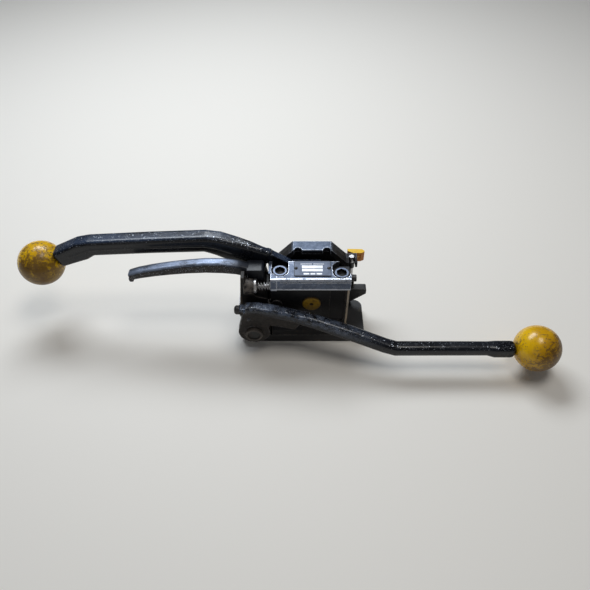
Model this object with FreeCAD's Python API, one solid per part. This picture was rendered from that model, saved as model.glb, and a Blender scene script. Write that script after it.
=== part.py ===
import FreeCAD, Part
import math
import os

# Hand-operated sealless combination tool for steel strapping: it tensions the strap with a
# feed wheel, then punches interlocking keys into both layers and cuts the supply strap.
# Frame: origin on the underside of the base, below the strap's centre line and midway along
# the base. +X runs along the strap towards the tension lever's knob, +Y towards the open side
# where the strap goes in, +Z up. All sizes in millimetres.

V = FreeCAD.Vector
AXIS_X = V(1, 0, 0)
AXIS_Y = V(0, 1, 0)
AXIS_Z = V(0, 0, 1)

FIT = 0.05          # radial running fit of every pin and shaft
GAP = 0.4           # gap between bodies that pass each other

# Base plate
BASE_HALF_LENGTH = 71.0
BASE_FRONT = -32.0
BASE_REAR = 22.0
BASE_TOP = 12.0
STRAP_TOP = 17.0
STRAP_EDGE_GUIDE = -9.4
BASE_SCREW_X = (-27.0, 6.0, 41.0)
BASE_SCREW_Y = -20.0
BASE_SCREW_R = 4.0
DIE_SCREW_X = (4.5, 16.5)
DIE_SCREW_R = 1.75
DIE_BOTTOM = 4.5

# Sealing head: front wall, two cheeks, rear bridge, top cover
HEAD_LEFT = -35.0
HEAD_RIGHT = 50.0
WALL_FRONT = -26.0
WALL_BACK = -13.0
HEAD_TOP = 89.0
CHEEK_REAR = 10.2
RAM_BAY_LEFT = -11.0
RAM_BAY_RIGHT = 29.4
LEFT_CHEEK_LEFT = -20.0
BRIDGE_REAR = 25.2
COVER_TOP = 99.0
COVER_LEFT = -37.0
COVER_FRONT = -28.0
BAND_BOTTOM = 83.5
BAND_GROOVE = (94.6, 95.4)
ANCHOR_RIGHT = -28.4
ANCHOR_BACK = -18.0
ANCHOR_BOTTOM = 82.2
COVER_SCREWS = (V(-25.0, -13.0, 0), V(40.5, -16.0, 0))
COVER_SCREW_SEAT = 91.0
COVER_SCREW_R = 5.0
RIVETS = ((-7.9, -11.4), (27.0, -11.4))
RIVET_R = 1.2
RIVET_END = 95.0
BRIDGE_OUTLINE = ((-38, 46), (-38, 87), (-28, 87), (-11, 106), (30, 106), (48, 87), (60, 87),
                  (60, 80), (50, 80), (50, 18), (-20, 18), (-20, 46))
BRIDGE_RECESS = ((-26, 80), (-9.6, 100), (28.4, 100), (44, 82), (44, 68), (-26, 68))
BRIDGE_SCREWS = ((-15.5, 26.0), (-15.5, 50.0), (40.0, 26.0), (40.0, 56.0))
BRIDGE_SCREW_R = 3.0
RECESS_BACK = 17.5
NOTCHES_X = (-5.7, 25.3)
PLUG_Z = 60.2
PLUG_R = 10.2
PLUG_BACK = -22.0
CLAMP_SCREW = V(57.8, -8.0, 81.4)
CLAMP_SCREW_R = 2.5

# Sealing drive: cam shaft across the head, spiral cam, roller and ram
CAM_X = 9.0
CAM_Z = 76.0
CAM_SHAFT_R = 7.0
CAM_BASE_R = 9.0
CAM_LIFT = 7.0
CAM_CLEARANCE = 0.4
CAM_ANGLE = 140.0
CAM_DEPTH = (-9.4, -3.6)
CAM_BUSH_R = 9.0
CAM_BUSH_FRONT = -21.0
ROLLER_R = 6.0
ROLLER_Z = CAM_Z - CAM_BASE_R - ROLLER_R
ROLLER_PIN_R = 3.0
RAM_BOTTOM = 24.0
RAM_SHOULDER = 54.7
PUNCH_TIP = 18.6
PUNCH_X = (-1.5, 10.5, 22.5)
PUNCH_SHANK_R = 2.5
RAM_SPRING_X = (-4.0, 22.0)
BLADE_SCREW_Z = (32.0, 40.0)
BLADE_SCREW_R = 1.5
BLADE_THICKNESS = 2.8

# Rocker: carries the feed shaft and tilts about the pin through the head
PIVOT_X = -29.0
PIVOT_Z = 60.0
PIVOT_PIN_R = 5.0
PIVOT_BUSH_R = 6.5
TONGUE_DEPTH = (-12.5, 9.7)
FEED_X = -54.0
FEED_Z = 33.0
FEED_SHAFT_R = 7.0
WHEEL_R = 19.8
WHEEL_HALF = 9.5
ROCKER_WALL_FRONT = -27.0
ROCKER_POCKET = 10.5
ROCKER_WALL_REAR = 22.0
ROCKER_LEFT = -69.0
ROCKER_RIGHT = -38.5
SHAFT_BUSH_R = 10.0
SMALL_PIN_R = 2.0
HOLD_X = -66.0
HOLD_Z = 47.0
LEVER_PIN_X = (-59.5, -51.5)
LEVER_PIN_Y = -5.0
SPRING_ROD_R = 2.0
SPRING_Y = -23.0
SPRING_Z = 84.8
SEAT_X = -52.5
SEAT_R = 7.8

# Tension lever and its ratchet
HUB_R = 17.5
HUB_FRONT = -46.0
WEB_FRONT = -45.0
HUB_CAVITY_FRONT = -42.0
HUB_COVER_FRONT = -34.5
HUB_BACK = -33.0
RATCHET_TEETH = 12
RATCHET_TIP_R = 14.0
RATCHET_ROOT_R = 11.5
RATCHET_REAR = -28.2
FLANK_ANGLE = 72.0
PAWL_X = -59.0
PAWL_Z = 55.0
PAWL_PIN_R = 2.2
TIP_REST_R = 13.2
TIP_BACK = 9.0      # degrees from a working face to the drive pawl's tip
PAWL_PLUG_Y = -37.8
PAWL_PLUG_Z = 63.0
PAWL_PLUG_R = 2.5
PAWL_ROOM = ((-64, 45), (-63.5, 60), (-60, 65), (-42, 63), (-40, 50), (-44, 40), (-60, 40))
HUB_SCREWS = ((-36, 58), (-34.6, 50.2))
HUB_SCREW_R = 1.5
HUB_SCREW_END = -43.0
HUB_EDGE = ((-66, 58), (-64, 66), (-50, 69), (-38, 66), (-24, 62), (-8, 55), (4, 50), (4, 46),
            (-3.5, 46.5), (-9.2, 37.5), (-25.7, 42.5), (-36.5, 44.5))
HUB_COVER_EDGE = ((-66, 48), (-64.3, 61), (-61, 66), (-44, 65), (-31.5, 61), (-31.5, 47), (-40, 40))
KNOB_R = 25.0
KNOB_BORE_R = 6.0
TENSION_KNOB = V(252.6, -67.0, 33.4)
SEALING_KNOB = V(-292.5, 17.0, 80.0)
LEVER_END = 23.8    # from a knob's centre to the end of its lever
STUD_TIP = 4.0      # from a knob's centre to the tip of its lever's stud
STUD_LENGTH = 22.0
NECK_START = V(-255.0, 17.0, 96.6)

# Forged levers: centre, width, height and corner radius of each section
SEALING_BAR = ((V(-38, 5.1, 96.5), 9.0, 28.0, 2.5), (V(-48, 5.7, 99.5), 10.2, 29.5, 3.0),
               (V(-60, 9.0, 102.0), 13.0, 30.0, 4.0), (V(-75, 13.0, 105.5), 15.5, 27.5, 4.5),
               (V(-92, 16.2, 110.6), 17.0, 24.5, 4.5), (V(-106, 17, 113.4), 17.5, 21.0, 4.5),
               (V(-165, 17, 111.0), 17.5, 20.4, 4.5), (V(-229, 17, 107.3), 17.5, 20.3, 4.5),
               (V(-240, 17, 103.0), 17.5, 24.5, 5.0), (NECK_START, 18.0, 22.5, 6.0))
RELEASE_Y = -8.0
RELEASE_BAR = ((V(-58, RELEASE_Y, 94.0), 12.0, 13.0, 2.5), (V(-71, RELEASE_Y, 98.2), 12.0, 13.5, 3.0),
               (V(-86, RELEASE_Y, 100.4), 12.0, 14.5, 3.0), (V(-104, RELEASE_Y, 100.8), 12.0, 14.0, 3.0),
               (V(-124, RELEASE_Y, 99.2), 12.0, 12.8, 3.0), (V(-143, RELEASE_Y, 96.7), 12.0, 11.8, 3.0),
               (V(-160, RELEASE_Y, 93.8), 12.0, 11.0, 3.0), (V(-176, RELEASE_Y, 90.2), 11.6, 10.2, 3.0),
               (V(-188, RELEASE_Y, 86.2), 11.0, 9.4, 3.0))
TENSION_BAR = ((V(-62, -39.8, 68.2), 12.4, 8.0, 2.8), (V(-50, -39.8, 68.4), 12.4, 8.5, 3.0),
               (V(-38, -39.8, 65.8), 12.4, 9.0, 3.0), (V(-24, -39.8, 61.6), 12.4, 9.5, 3.2),
               (V(-8, -39.9, 54.8), 12.6, 12.0, 3.8), (V(5, -41.0, 51.0), 13.5, 14.5, 4.5),
               (V(50, -53.4, 43.2), 14.0, 15.5, 5.5), (V(88, -64.4, 35.0), 14.0, 15.0, 6.0),
               (V(100, -67, 33), 14.0, 15.0, 6.0), (V(199, -67, 33), 13.6, 14.6, 6.0),
               (V(207, -67.5, 32.4), 15.4, 16.8, 7.2),
               (V(TENSION_KNOB.x - LEVER_END, -67.5, 32.4), 15.4, 16.8, 7.2))

# Strap stop at the exit end
STOP_X = 54.2
STOP_Y = 19.5
STOP_SPINDLE_R = 3.0
STOP_FOOT = 12.6
STOP_TOP = 43.0
NOSE_OUTLINE = ((51, STOP_FOOT), (53, STOP_FOOT), (53, 18.7), (74, 35.5), (74, STOP_TOP), (51, STOP_TOP))
THUMB_DEPTH = (72.0, 79.4)
THUMB_TOP = 85.0

# Gripper under the strap
GRIPPER_SPRING_X = (-59.0, -49.0)
GRIPPER_BOTTOM = 6.2
GRIPPER_TOP = 12.8

os.makedirs("parts", exist_ok=True)


def save(name, shape):
    """Write one named piece."""
    shape.exportStep("parts/" + name + ".step")


def box(x, y, z):
    """Block from three (low, high) pairs."""
    return Part.makeBox(x[1] - x[0], y[1] - y[0], z[1] - z[0], V(x[0], y[0], z[0]))


def rod_x(x, y, z, radius):
    """Cylinder along X, x a (low, high) pair."""
    return Part.makeCylinder(radius, x[1] - x[0], V(x[0], y, z), AXIS_X)


def rod_y(x, y, z, radius):
    """Cylinder along Y, y a (low, high) pair."""
    return Part.makeCylinder(radius, y[1] - y[0], V(x, y[0], z), AXIS_Y)


def rod_z(x, y, z, radius):
    """Cylinder along Z, z a (low, high) pair."""
    return Part.makeCylinder(radius, z[1] - z[0], V(x, y, z[0]), AXIS_Z)


def plate_y(outline, y):
    """Flat plate with an (X, Z) outline, between two Y values."""
    points = [V(px, y[0], pz) for px, pz in outline]
    face = Part.Face(Part.makePolygon(points + points[:1]))
    return face.extrude(V(0, y[1] - y[0], 0))


def plate_z(outline, z):
    """Flat plate with an (X, Y) outline, between two Z values."""
    points = [V(px, py, z[0]) for px, py in outline]
    face = Part.Face(Part.makePolygon(points + points[:1]))
    return face.extrude(V(0, 0, z[1] - z[0]))


def plain(shape):
    """The solid inside a result that holds only one."""
    return shape.Solids[0] if len(shape.Solids) == 1 else shape


def join(*shapes):
    """One solid from overlapping or touching shapes."""
    whole = shapes[0]
    for shape in shapes[1:]:
        whole = plain(whole.fuse(shape))
    merged = plain(whole.removeSplitter())
    return merged if merged.isValid() else whole


def cut(shape, *tools):
    """The shape less every tool."""
    for tool in tools:
        shape = plain(shape.cut(tool))
    return shape


def group(shapes):
    """Several equal pieces kept as separate solids in one node."""
    return Part.Compound(list(shapes))


def bevel(shape, size, choose):
    """Chamfer the straight edges whose middle point the test accepts."""
    edges = [e for e in shape.Edges if choose(e.CenterOfMass, e)]
    return plain(shape.makeChamfer(size, edges)) if edges else shape


def rounded(shape, radius, choose):
    """Fillet the edges whose middle point the test accepts."""
    edges = [e for e in shape.Edges if choose(e.CenterOfMass, e)]
    return plain(shape.makeFillet(radius, edges)) if edges else shape


def runs_along(edge, axis):
    """True for a straight edge parallel to the axis."""
    if edge.Curve.TypeId != "Part::GeomLine":
        return False
    return abs(abs(edge.Curve.Direction.dot(axis)) - 1.0) < 1e-6


def socket_screw(top, head_r, head_h, shank_r, length, direction=V(0, 0, -1), wide=0.5):
    """Socket cap screw, top of its head at top, pointing along direction."""
    head = Part.makeCylinder(head_r, head_h, top, direction)
    shank = Part.makeCylinder(shank_r, length, top, direction)
    screw = join(head, shank)
    hexagon = hex_prism(top, head_r * wide, head_h * 0.6, direction)
    return screw.cut(hexagon)


def hex_prism(start, half_flats, depth, direction):
    """Hexagonal socket from start along direction."""
    corner = half_flats / math.cos(math.radians(30))
    side = AXIS_X if abs(direction.x) < 0.5 else AXIS_Y
    other = direction.cross(side)
    points = []
    for step in range(6):
        turn = math.radians(60 * step + 30)
        points.append(start + side * (corner * math.cos(turn)) + other * (corner * math.sin(turn)))
    face = Part.Face(Part.makePolygon(points + points[:1]))
    return face.extrude(direction * depth)


def section(centre, along, across, width, height, corner):
    """Rounded rectangle square to a lever's centre line; width lies along `across`."""
    n = V(along).normalize()
    side = (across - n * across.dot(n)).normalize()
    up = n.cross(side).normalize()
    a = width / 2 - corner
    b = height / 2 - corner
    slant = corner * math.sqrt(0.5)
    edges = []
    corners = ((a, b, 1, 1), (-a, b, -1, 1), (-a, -b, -1, -1), (a, -b, 1, -1))
    starts = []
    for index, (ca, cb, sa, sb) in enumerate(corners):
        on_side = centre + side * (ca + sa * corner) + up * cb
        on_top = centre + side * ca + up * (cb + sb * corner)
        mid = centre + side * (ca + sa * slant) + up * (cb + sb * slant)
        first, last = (on_side, on_top) if index % 2 == 0 else (on_top, on_side)
        starts.append((first, mid, last))
    for index in range(4):
        first, mid, last = starts[index]
        edges.append(Part.Arc(first, mid, last).toShape())
        edges.append(Part.makeLine(last, starts[(index + 1) % 4][0]))
    return Part.Wire(edges)


def lever_bar(stations, across=AXIS_Y):
    """Bar lofted through (centre, width, height, corner) stations, mitred at each bend."""
    wires = []
    last = len(stations) - 1
    for index, (centre, width, height, corner) in enumerate(stations):
        before = stations[max(index - 1, 0)][0]
        after = stations[min(index + 1, last)][0]
        ahead = (after - centre).normalize() if index < last else V(0, 0, 0)
        behind = (centre - before).normalize() if index > 0 else V(0, 0, 0)
        wires.append(section(centre, ahead + behind, across, width, height, corner))
    return Part.makeLoft(wires, True, True)


def coil(start, axis, radius, wire, length, turns):
    """Compression spring from start along axis."""
    pitch = (length - wire) / turns
    helix = Part.makeHelix(pitch, length - wire, radius)
    profile = Part.Wire([Part.makeCircle(wire / 2, V(radius, 0, 0), AXIS_Y)])
    spring = Part.Wire(helix.Edges).makePipeShell([profile], True, True)
    spring.translate(V(0, 0, wire / 2))
    turn = FreeCAD.Rotation(AXIS_Z, axis)
    spring.Placement = FreeCAD.Placement(start, turn).multiply(spring.Placement)
    return spring


def arc_points(x, z, radius, start, end, steps):
    """Points on a circle in the XZ plane, angles in degrees from +X towards +Z."""
    points = []
    for step in range(steps + 1):
        turn = math.radians(start + (end - start) * step / steps)
        points.append((x + radius * math.cos(turn), z + radius * math.sin(turn)))
    return points


# Spaces that two pieces share: the keys, and the release lever's seat in the rocker
KEY_SPACE = box((CAM_X - 2, CAM_X + 2), CAM_DEPTH, (CAM_Z + 5, CAM_Z + 8))
WHEEL_KEY = box((FEED_X - 1.5, FEED_X + 1.5), (-6, 6), (FEED_Z + 5.5, FEED_Z + 8.6))
RATCHET_KEY = box((FEED_X - 1.5, FEED_X + 1.5), (-40, -30), (FEED_Z + 5.5, FEED_Z + 8.6))
LEVER_SLOT = box((-72, -38), (-10.4, 0.4), (78, 104))
LEVER_LEDGE = box((-72, -38), (-16.3, -10.3), (86.5, 104))


# ---------------------------------------------------------------- frame: base and head

def make_base():
    length = (-BASE_HALF_LENGTH, BASE_HALF_LENGTH)
    base = box(length, (BASE_FRONT, BASE_REAR), (0, BASE_TOP))
    base = rounded(base, 10.0, lambda c, e: runs_along(e, AXIS_Z) and c.x > 0 and c.y > 0)
    base = rounded(base, 4.0, lambda c, e: runs_along(e, AXIS_Z) and not (c.x > 0 and c.y > 0))
    for side in (-1, 1):
        end = side * BASE_HALF_LENGTH
        ramp = [(end, 0), (end - side * 14, 0), (end, 5)]
        base = base.cut(plate_y(ramp, (BASE_FRONT, BASE_REAR)))
    gripper_pocket = box((-64, -44), (-10, 10), (4, BASE_TOP))
    die_pocket = box((RAM_BAY_LEFT + 3.6, RAM_BAY_RIGHT), (-11, 11), (DIE_BOTTOM, BASE_TOP))
    blade_slot = box((RAM_BAY_LEFT, RAM_BAY_LEFT + 3.6), (-11, 11), (9.5, BASE_TOP))
    base = cut(base, gripper_pocket, die_pocket, blade_slot)
    for x in BASE_SCREW_X:
        base = cut(base, rod_z(x, BASE_SCREW_Y, (0, 6.4), 6.75),
                   rod_z(x, BASE_SCREW_Y, (6, BASE_TOP), BASE_SCREW_R))
    for x in DIE_SCREW_X:
        base = cut(base, rod_z(x, 0, (0, 2.6), 3.2), rod_z(x, 0, (2, 5), DIE_SCREW_R))
    return base


def make_front_wall():
    """Front wall with its rubbed corner, shallow window, and bores from the front."""
    wall = box((HEAD_LEFT, HEAD_RIGHT), (WALL_FRONT, WALL_BACK), (BASE_TOP, HEAD_TOP))
    wall = bevel(wall, 2.5, lambda c, e: (runs_along(e, AXIS_Z) and c.x > HEAD_RIGHT - 0.1
                                          and c.y < WALL_FRONT + 0.1))
    window = box((29, 45.5), (WALL_FRONT, WALL_FRONT + 1.6), (30, 80))
    window = rounded(window, 5.0, lambda c, e: runs_along(e, AXIS_Y) and c.z < 40)
    anchor_seat = box((HEAD_LEFT, ANCHOR_RIGHT), (WALL_FRONT, ANCHOR_BACK),
                      (ANCHOR_BOTTOM, HEAD_TOP))
    return cut(wall, window, anchor_seat,
               rod_y(PIVOT_X, (WALL_FRONT, WALL_BACK), PIVOT_Z, PIVOT_PIN_R),
               rod_y(CAM_X, (CAM_BUSH_FRONT, WALL_BACK), CAM_Z, CAM_BUSH_R),
               rod_y(CAM_X, (WALL_FRONT, PLUG_BACK), PLUG_Z, PLUG_R))


def make_housing():
    foot = box((HEAD_LEFT, HEAD_RIGHT), (BASE_FRONT, WALL_BACK), (BASE_TOP, 24))
    foot = bevel(foot, 3.0, lambda c, e: runs_along(e, AXIS_X) and c.y < -30 and c.z > 20)
    left_cheek = box((LEFT_CHEEK_LEFT, RAM_BAY_LEFT), (WALL_BACK, CHEEK_REAR), (STRAP_TOP, 60))
    right_cheek = join(
        box((RAM_BAY_RIGHT, HEAD_RIGHT), (WALL_BACK, CHEEK_REAR), (STRAP_TOP, 64)),
        box((RAM_BAY_RIGHT, HEAD_RIGHT), (WALL_BACK, 0), (60, HEAD_TOP)))
    left_boss = join(
        box((ANCHOR_RIGHT, RAM_BAY_LEFT), (WALL_BACK, -6.5), (70.5, HEAD_TOP)),
        box((COVER_LEFT, ANCHOR_RIGHT), (ANCHOR_BACK, -6.5), (70.5, HEAD_TOP)))
    body = join(make_front_wall(), foot, left_cheek, right_cheek, left_boss)
    body = cut(body, rod_x((HEAD_RIGHT - 14, HEAD_RIGHT), CLAMP_SCREW.y, CLAMP_SCREW.z, CLAMP_SCREW_R))
    for spot in COVER_SCREWS:
        body = cut(body, rod_z(spot.x, spot.y, (66, HEAD_TOP), COVER_SCREW_R))
    for x in BASE_SCREW_X:
        body = cut(body, rod_z(x, BASE_SCREW_Y, (BASE_TOP, 34), BASE_SCREW_R))
    for x, z in BRIDGE_SCREWS:
        body = cut(body, rod_y(x, (-4, CHEEK_REAR), z, BRIDGE_SCREW_R))
    return body


def make_cover():
    cover = box((COVER_LEFT, HEAD_RIGHT), (WALL_FRONT, 0), (HEAD_TOP, COVER_TOP))
    band = box((ANCHOR_RIGHT, HEAD_RIGHT), (COVER_FRONT, WALL_FRONT), (BAND_BOTTOM, COVER_TOP))
    cover = join(cover, band)
    cover = bevel(cover, 1.2, lambda c, e: (runs_along(e, AXIS_X) and c.z > COVER_TOP - 0.1
                                            and c.y < COVER_FRONT + 0.1))
    left, right = COVER_SCREWS
    seat = (COVER_SCREW_SEAT, COVER_TOP)
    left_pocket = join(rod_z(left.x, left.y, seat, 9.3),
                       box((left.x, -16.0), (left.y, 0), seat),
                       box((left.x - 8.6, left.x), (left.y + 2, 0), seat))
    right_pocket = join(rod_z(right.x, right.y, seat, 9.6),
                        rod_z(right.x, right.y + 6, seat, 10.1),
                        box((right.x, HEAD_RIGHT), (right.y + 1, 0), seat))
    groove = box((ANCHOR_RIGHT + 4, HEAD_RIGHT), (COVER_FRONT, COVER_FRONT + 0.7), BAND_GROOVE)
    cam_room = box((-8.5, 27.0), (WALL_BACK, 0), (HEAD_TOP, 91.5))
    anchor_notch = box((COVER_LEFT, ANCHOR_RIGHT), (COVER_FRONT, ANCHOR_BACK), (HEAD_TOP, COVER_TOP))
    cover = cut(cover, left_pocket, right_pocket, cam_room, anchor_notch, groove)
    for spot in COVER_SCREWS:
        cover = cut(cover, rod_z(spot.x, spot.y, (HEAD_TOP, COVER_TOP), COVER_SCREW_R))
    for x, y in RIVETS:
        cover = cut(cover, rod_z(x, y, (RIVET_END, COVER_TOP), RIVET_R))
    return cover


def make_name_plate():
    plate = box((-10, 29.2), (-22.6, -0.5), (COVER_TOP, COVER_TOP + 1))
    plate = rounded(plate, 1.5, lambda c, e: runs_along(e, AXIS_Z))
    for x, y in RIVETS:
        plate = cut(plate, rod_z(x, y, (COVER_TOP, COVER_TOP + 1), RIVET_R))
    return plate


def make_rivets():
    rivets = []
    for x, y in RIVETS:
        head = Part.makeSphere(2.2, V(x, y, COVER_TOP + 0.2))
        head = head.common(box((x - 3, x + 3), (y - 3, y + 3), (COVER_TOP + 1, COVER_TOP + 3)))
        rivets.append(join(head, rod_z(x, y, (RIVET_END, COVER_TOP + 1.2), RIVET_R)))
    return group(rivets)


def make_bridge():
    depth = (CHEEK_REAR, BRIDGE_REAR)
    bridge = plate_y(BRIDGE_OUTLINE, depth)
    lug = box((HEAD_RIGHT, 59), (14, BRIDGE_REAR), (45, 53))
    bridge = join(bridge, lug)
    recess = plate_y(BRIDGE_RECESS, (CHEEK_REAR, RECESS_BACK))
    bush_boss = rod_y(CAM_X, depth, CAM_Z, 11.5)
    bridge = join(bridge.cut(recess), bush_boss)
    for x in NOTCHES_X:
        bridge = cut(bridge, rod_z(x, CHEEK_REAR, (99, 106), 4.2))
    bridge = cut(bridge,
                 rod_y(CAM_X, depth, CAM_Z, CAM_BUSH_R),
                 rod_y(PIVOT_X, depth, PIVOT_Z, PIVOT_PIN_R),
                 rod_z(STOP_X, STOP_Y, (45, 87), STOP_SPINDLE_R + FIT),
                 box((STOP_X - 3.6, STOP_X + 3.6), (CHEEK_REAR, STOP_Y), (80, 87)))
    for x, z in BRIDGE_SCREWS:
        bridge = cut(bridge, rod_y(x, depth, z, BRIDGE_SCREW_R),
                     rod_y(x, (19.2, BRIDGE_REAR), z, 5.0))
    bridge = bevel(bridge, 1.0, lambda c, e: runs_along(e, AXIS_X) and c.z > 105 and c.y > 25)
    return bridge


def make_cam_bushes():
    bushes = []
    for y in ((CAM_BUSH_FRONT, WALL_BACK), (CHEEK_REAR, BRIDGE_REAR)):
        bushes.append(rod_y(CAM_X, y, CAM_Z, CAM_BUSH_R).cut(rod_y(CAM_X, y, CAM_Z, CAM_SHAFT_R + FIT)))
    return group(bushes)


def make_die():
    die = box((RAM_BAY_LEFT + 3.6, RAM_BAY_RIGHT), (-11, 11), (DIE_BOTTOM, BASE_TOP))
    for x in PUNCH_X:
        die = die.cut(box((x - 3.5, x + 3.5), (-8.6, 8.6), (6.0, BASE_TOP)))
    for x in DIE_SCREW_X:
        die = cut(die, rod_z(x, 0, (DIE_BOTTOM, 10), DIE_SCREW_R))
    return die


def make_plug():
    plug = rod_y(CAM_X, (-27.4, PLUG_BACK), PLUG_Z, PLUG_R)
    plug = rounded(plug, 0.6, lambda c, e: c.y < -27)
    dimple = Part.makeSphere(2.4, V(CAM_X, -28.6, PLUG_Z))
    return plug.cut(dimple)


def make_anchor():
    lug = box((HEAD_LEFT, ANCHOR_RIGHT), (COVER_FRONT, ANCHOR_BACK), (ANCHOR_BOTTOM, 98.5))
    lug = bevel(lug, 1.2, lambda c, e: c.z > 98 and c.y < -27)
    screw = COVER_SCREWS[0]
    return cut(lug, rod_x((HEAD_LEFT, ANCHOR_RIGHT), SPRING_Y, SPRING_Z, SPRING_ROD_R),
               rod_z(screw.x, screw.y, (COVER_SCREW_SEAT - 0.4, COVER_TOP), 8.4))


def make_pivot_pin():
    pin = rod_y(PIVOT_X, (WALL_FRONT, 28), PIVOT_Z, PIVOT_PIN_R)
    head = rod_y(PIVOT_X, (-28, WALL_FRONT), PIVOT_Z, 6.4)
    groove = rod_y(PIVOT_X, (BRIDGE_REAR, 26.4), PIVOT_Z, 8.0)
    groove = cut(groove, rod_y(PIVOT_X, (BRIDGE_REAR, 26.4), PIVOT_Z, 4.2))
    return join(pin, head).cut(groove)


def make_circlip():
    ring = rod_y(PIVOT_X, (BRIDGE_REAR, 26.2), PIVOT_Z, 7.2)
    mouth = box((PIVOT_X - 3, PIVOT_X + 3), (BRIDGE_REAR, 26.2), (PIVOT_Z - 10, PIVOT_Z))
    return cut(ring, rod_y(PIVOT_X, (BRIDGE_REAR, 26.2), PIVOT_Z, 4.2), mouth)


def make_ram_springs():
    y = -11.1
    return group(coil(V(x, y, STRAP_TOP), AXIS_Z, 1.1, 0.5, 22.0, 9) for x in RAM_SPRING_X)


def make_gripper_springs():
    return group(coil(V(x, 0, 4), AXIS_Z, 1.6, 0.6, 5.6, 4) for x in GRIPPER_SPRING_X)


save("base_plate", make_base())
save("housing", make_housing())
save("strap_guide", box((LEFT_CHEEK_LEFT, HEAD_RIGHT), (WALL_BACK, STRAP_EDGE_GUIDE),
                        (BASE_TOP, STRAP_TOP)))
save("top_cover", make_cover())
save("name_plate", make_name_plate())
save("name_plate_rivets", make_rivets())
save("rear_bridge", make_bridge())
save("cam_bushes", make_cam_bushes())
save("die_block", make_die())
save("access_plug", make_plug())
save("spring_anchor", make_anchor())
save("spring_guide_rod", rod_x((-47.5, ANCHOR_RIGHT - 1), SPRING_Y, SPRING_Z, SPRING_ROD_R))
save("rocker_spring", coil(V(SEAT_X + 1, SPRING_Y, SPRING_Z), AXIS_X, 3.9, 1.3, HEAD_LEFT - SEAT_X - 1, 6))
save("rocker_pivot_pin", make_pivot_pin())
save("pivot_circlip", make_circlip())
save("ram_return_springs", make_ram_springs())
save("gripper_springs", make_gripper_springs())
save("base_screws", group(socket_screw(V(x, BASE_SCREW_Y, 0.6), 6.4, 5.6, BASE_SCREW_R, 32, AXIS_Z)
                          for x in BASE_SCREW_X))
save("die_screws", group(socket_screw(V(x, 0, 0.3), 3.0, 1.7, DIE_SCREW_R, 9, AXIS_Z)
                         for x in DIE_SCREW_X))
save("cover_screws", group(socket_screw(V(spot.x, spot.y, COVER_TOP - 0.8), 8.0, 7.2,
                                        COVER_SCREW_R, 27, wide=0.64)
                           for spot in COVER_SCREWS))
save("bridge_screws", group(socket_screw(V(x, BRIDGE_REAR, z), 4.9, 6.0, BRIDGE_SCREW_R, 28, -AXIS_Y)
                            for x, z in BRIDGE_SCREWS))
save("cutter_clamp_screw", socket_screw(CLAMP_SCREW, 3.8, 7.4, CLAMP_SCREW_R, 20, -AXIS_X))


# ---------------------------------------------------------------- sealing lever and cam

def make_stud(knob, along):
    """Threaded stud at a lever's end, and the bore that takes it in the knob."""
    return Part.makeCylinder(KNOB_BORE_R, STUD_LENGTH, knob - along * (STUD_TIP + STUD_LENGTH), along)


def make_sealing_lever():
    inner = (0.6, 9.6)
    hub = rod_y(CAM_X, inner, CAM_Z, 13.0)
    root = plate_y(((-2, 63.5), (20, 80), (20, 93), (-12, 93), (-40, 112), (-49, 84.5), (-30, 73.5)), inner)
    along = (SEALING_KNOB - NECK_START).normalize()
    end = SEALING_KNOB - along * LEVER_END
    bar = lever_bar(SEALING_BAR + ((end, 18.5, 20.5, 6.5),))
    stud = make_stud(SEALING_KNOB, along)
    lever = join(hub, root, bar, stud)
    return lever.cut(rod_y(CAM_X, inner, CAM_Z, CAM_SHAFT_R)), along


def make_knob(centre, along):
    """Ball knob with a threaded blind bore and a flat where the lever ends."""
    ball = Part.makeSphere(KNOB_R, centre)
    flat = Part.makeCylinder(KNOB_R, 6.0, centre - along * (KNOB_R + 4.2), along)
    bore = make_stud(centre, along)
    return cut(ball, flat, bore)


def make_cam():
    """Spiral: its radius grows evenly over the lever's travel, then drops back."""
    steps = 56
    profile = []
    for step in range(steps + 1):
        turn = CAM_ANGLE * step / steps
        profile.append((turn, CAM_BASE_R - CAM_CLEARANCE + CAM_LIFT * turn / CAM_ANGLE))
    drop = ((146, 15.6), (156, 14.2), (168, 12.0), (182, 10.2), (200, 9.2))
    outline = []
    for turn, radius in profile + list(drop):
        outline += arc_points(CAM_X, CAM_Z, radius, turn - 90, turn - 90, 1)[:1]
    outline += arc_points(CAM_X, CAM_Z, CAM_BASE_R - CAM_CLEARANCE, 122, 264, 18)
    cam = plate_y(outline, CAM_DEPTH)
    return cut(cam, rod_y(CAM_X, CAM_DEPTH, CAM_Z, CAM_SHAFT_R), KEY_SPACE)


sealing_lever, sealing_along = make_sealing_lever()
save("sealing_lever", sealing_lever)
save("sealing_knob", make_knob(SEALING_KNOB, sealing_along))
save("cam_shaft", rod_y(CAM_X, (-20.6, 24.6), CAM_Z, CAM_SHAFT_R).cut(KEY_SPACE))
save("cam_key", KEY_SPACE)
save("cam", make_cam())


# ---------------------------------------------------------------- ram, punches and cutter

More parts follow.
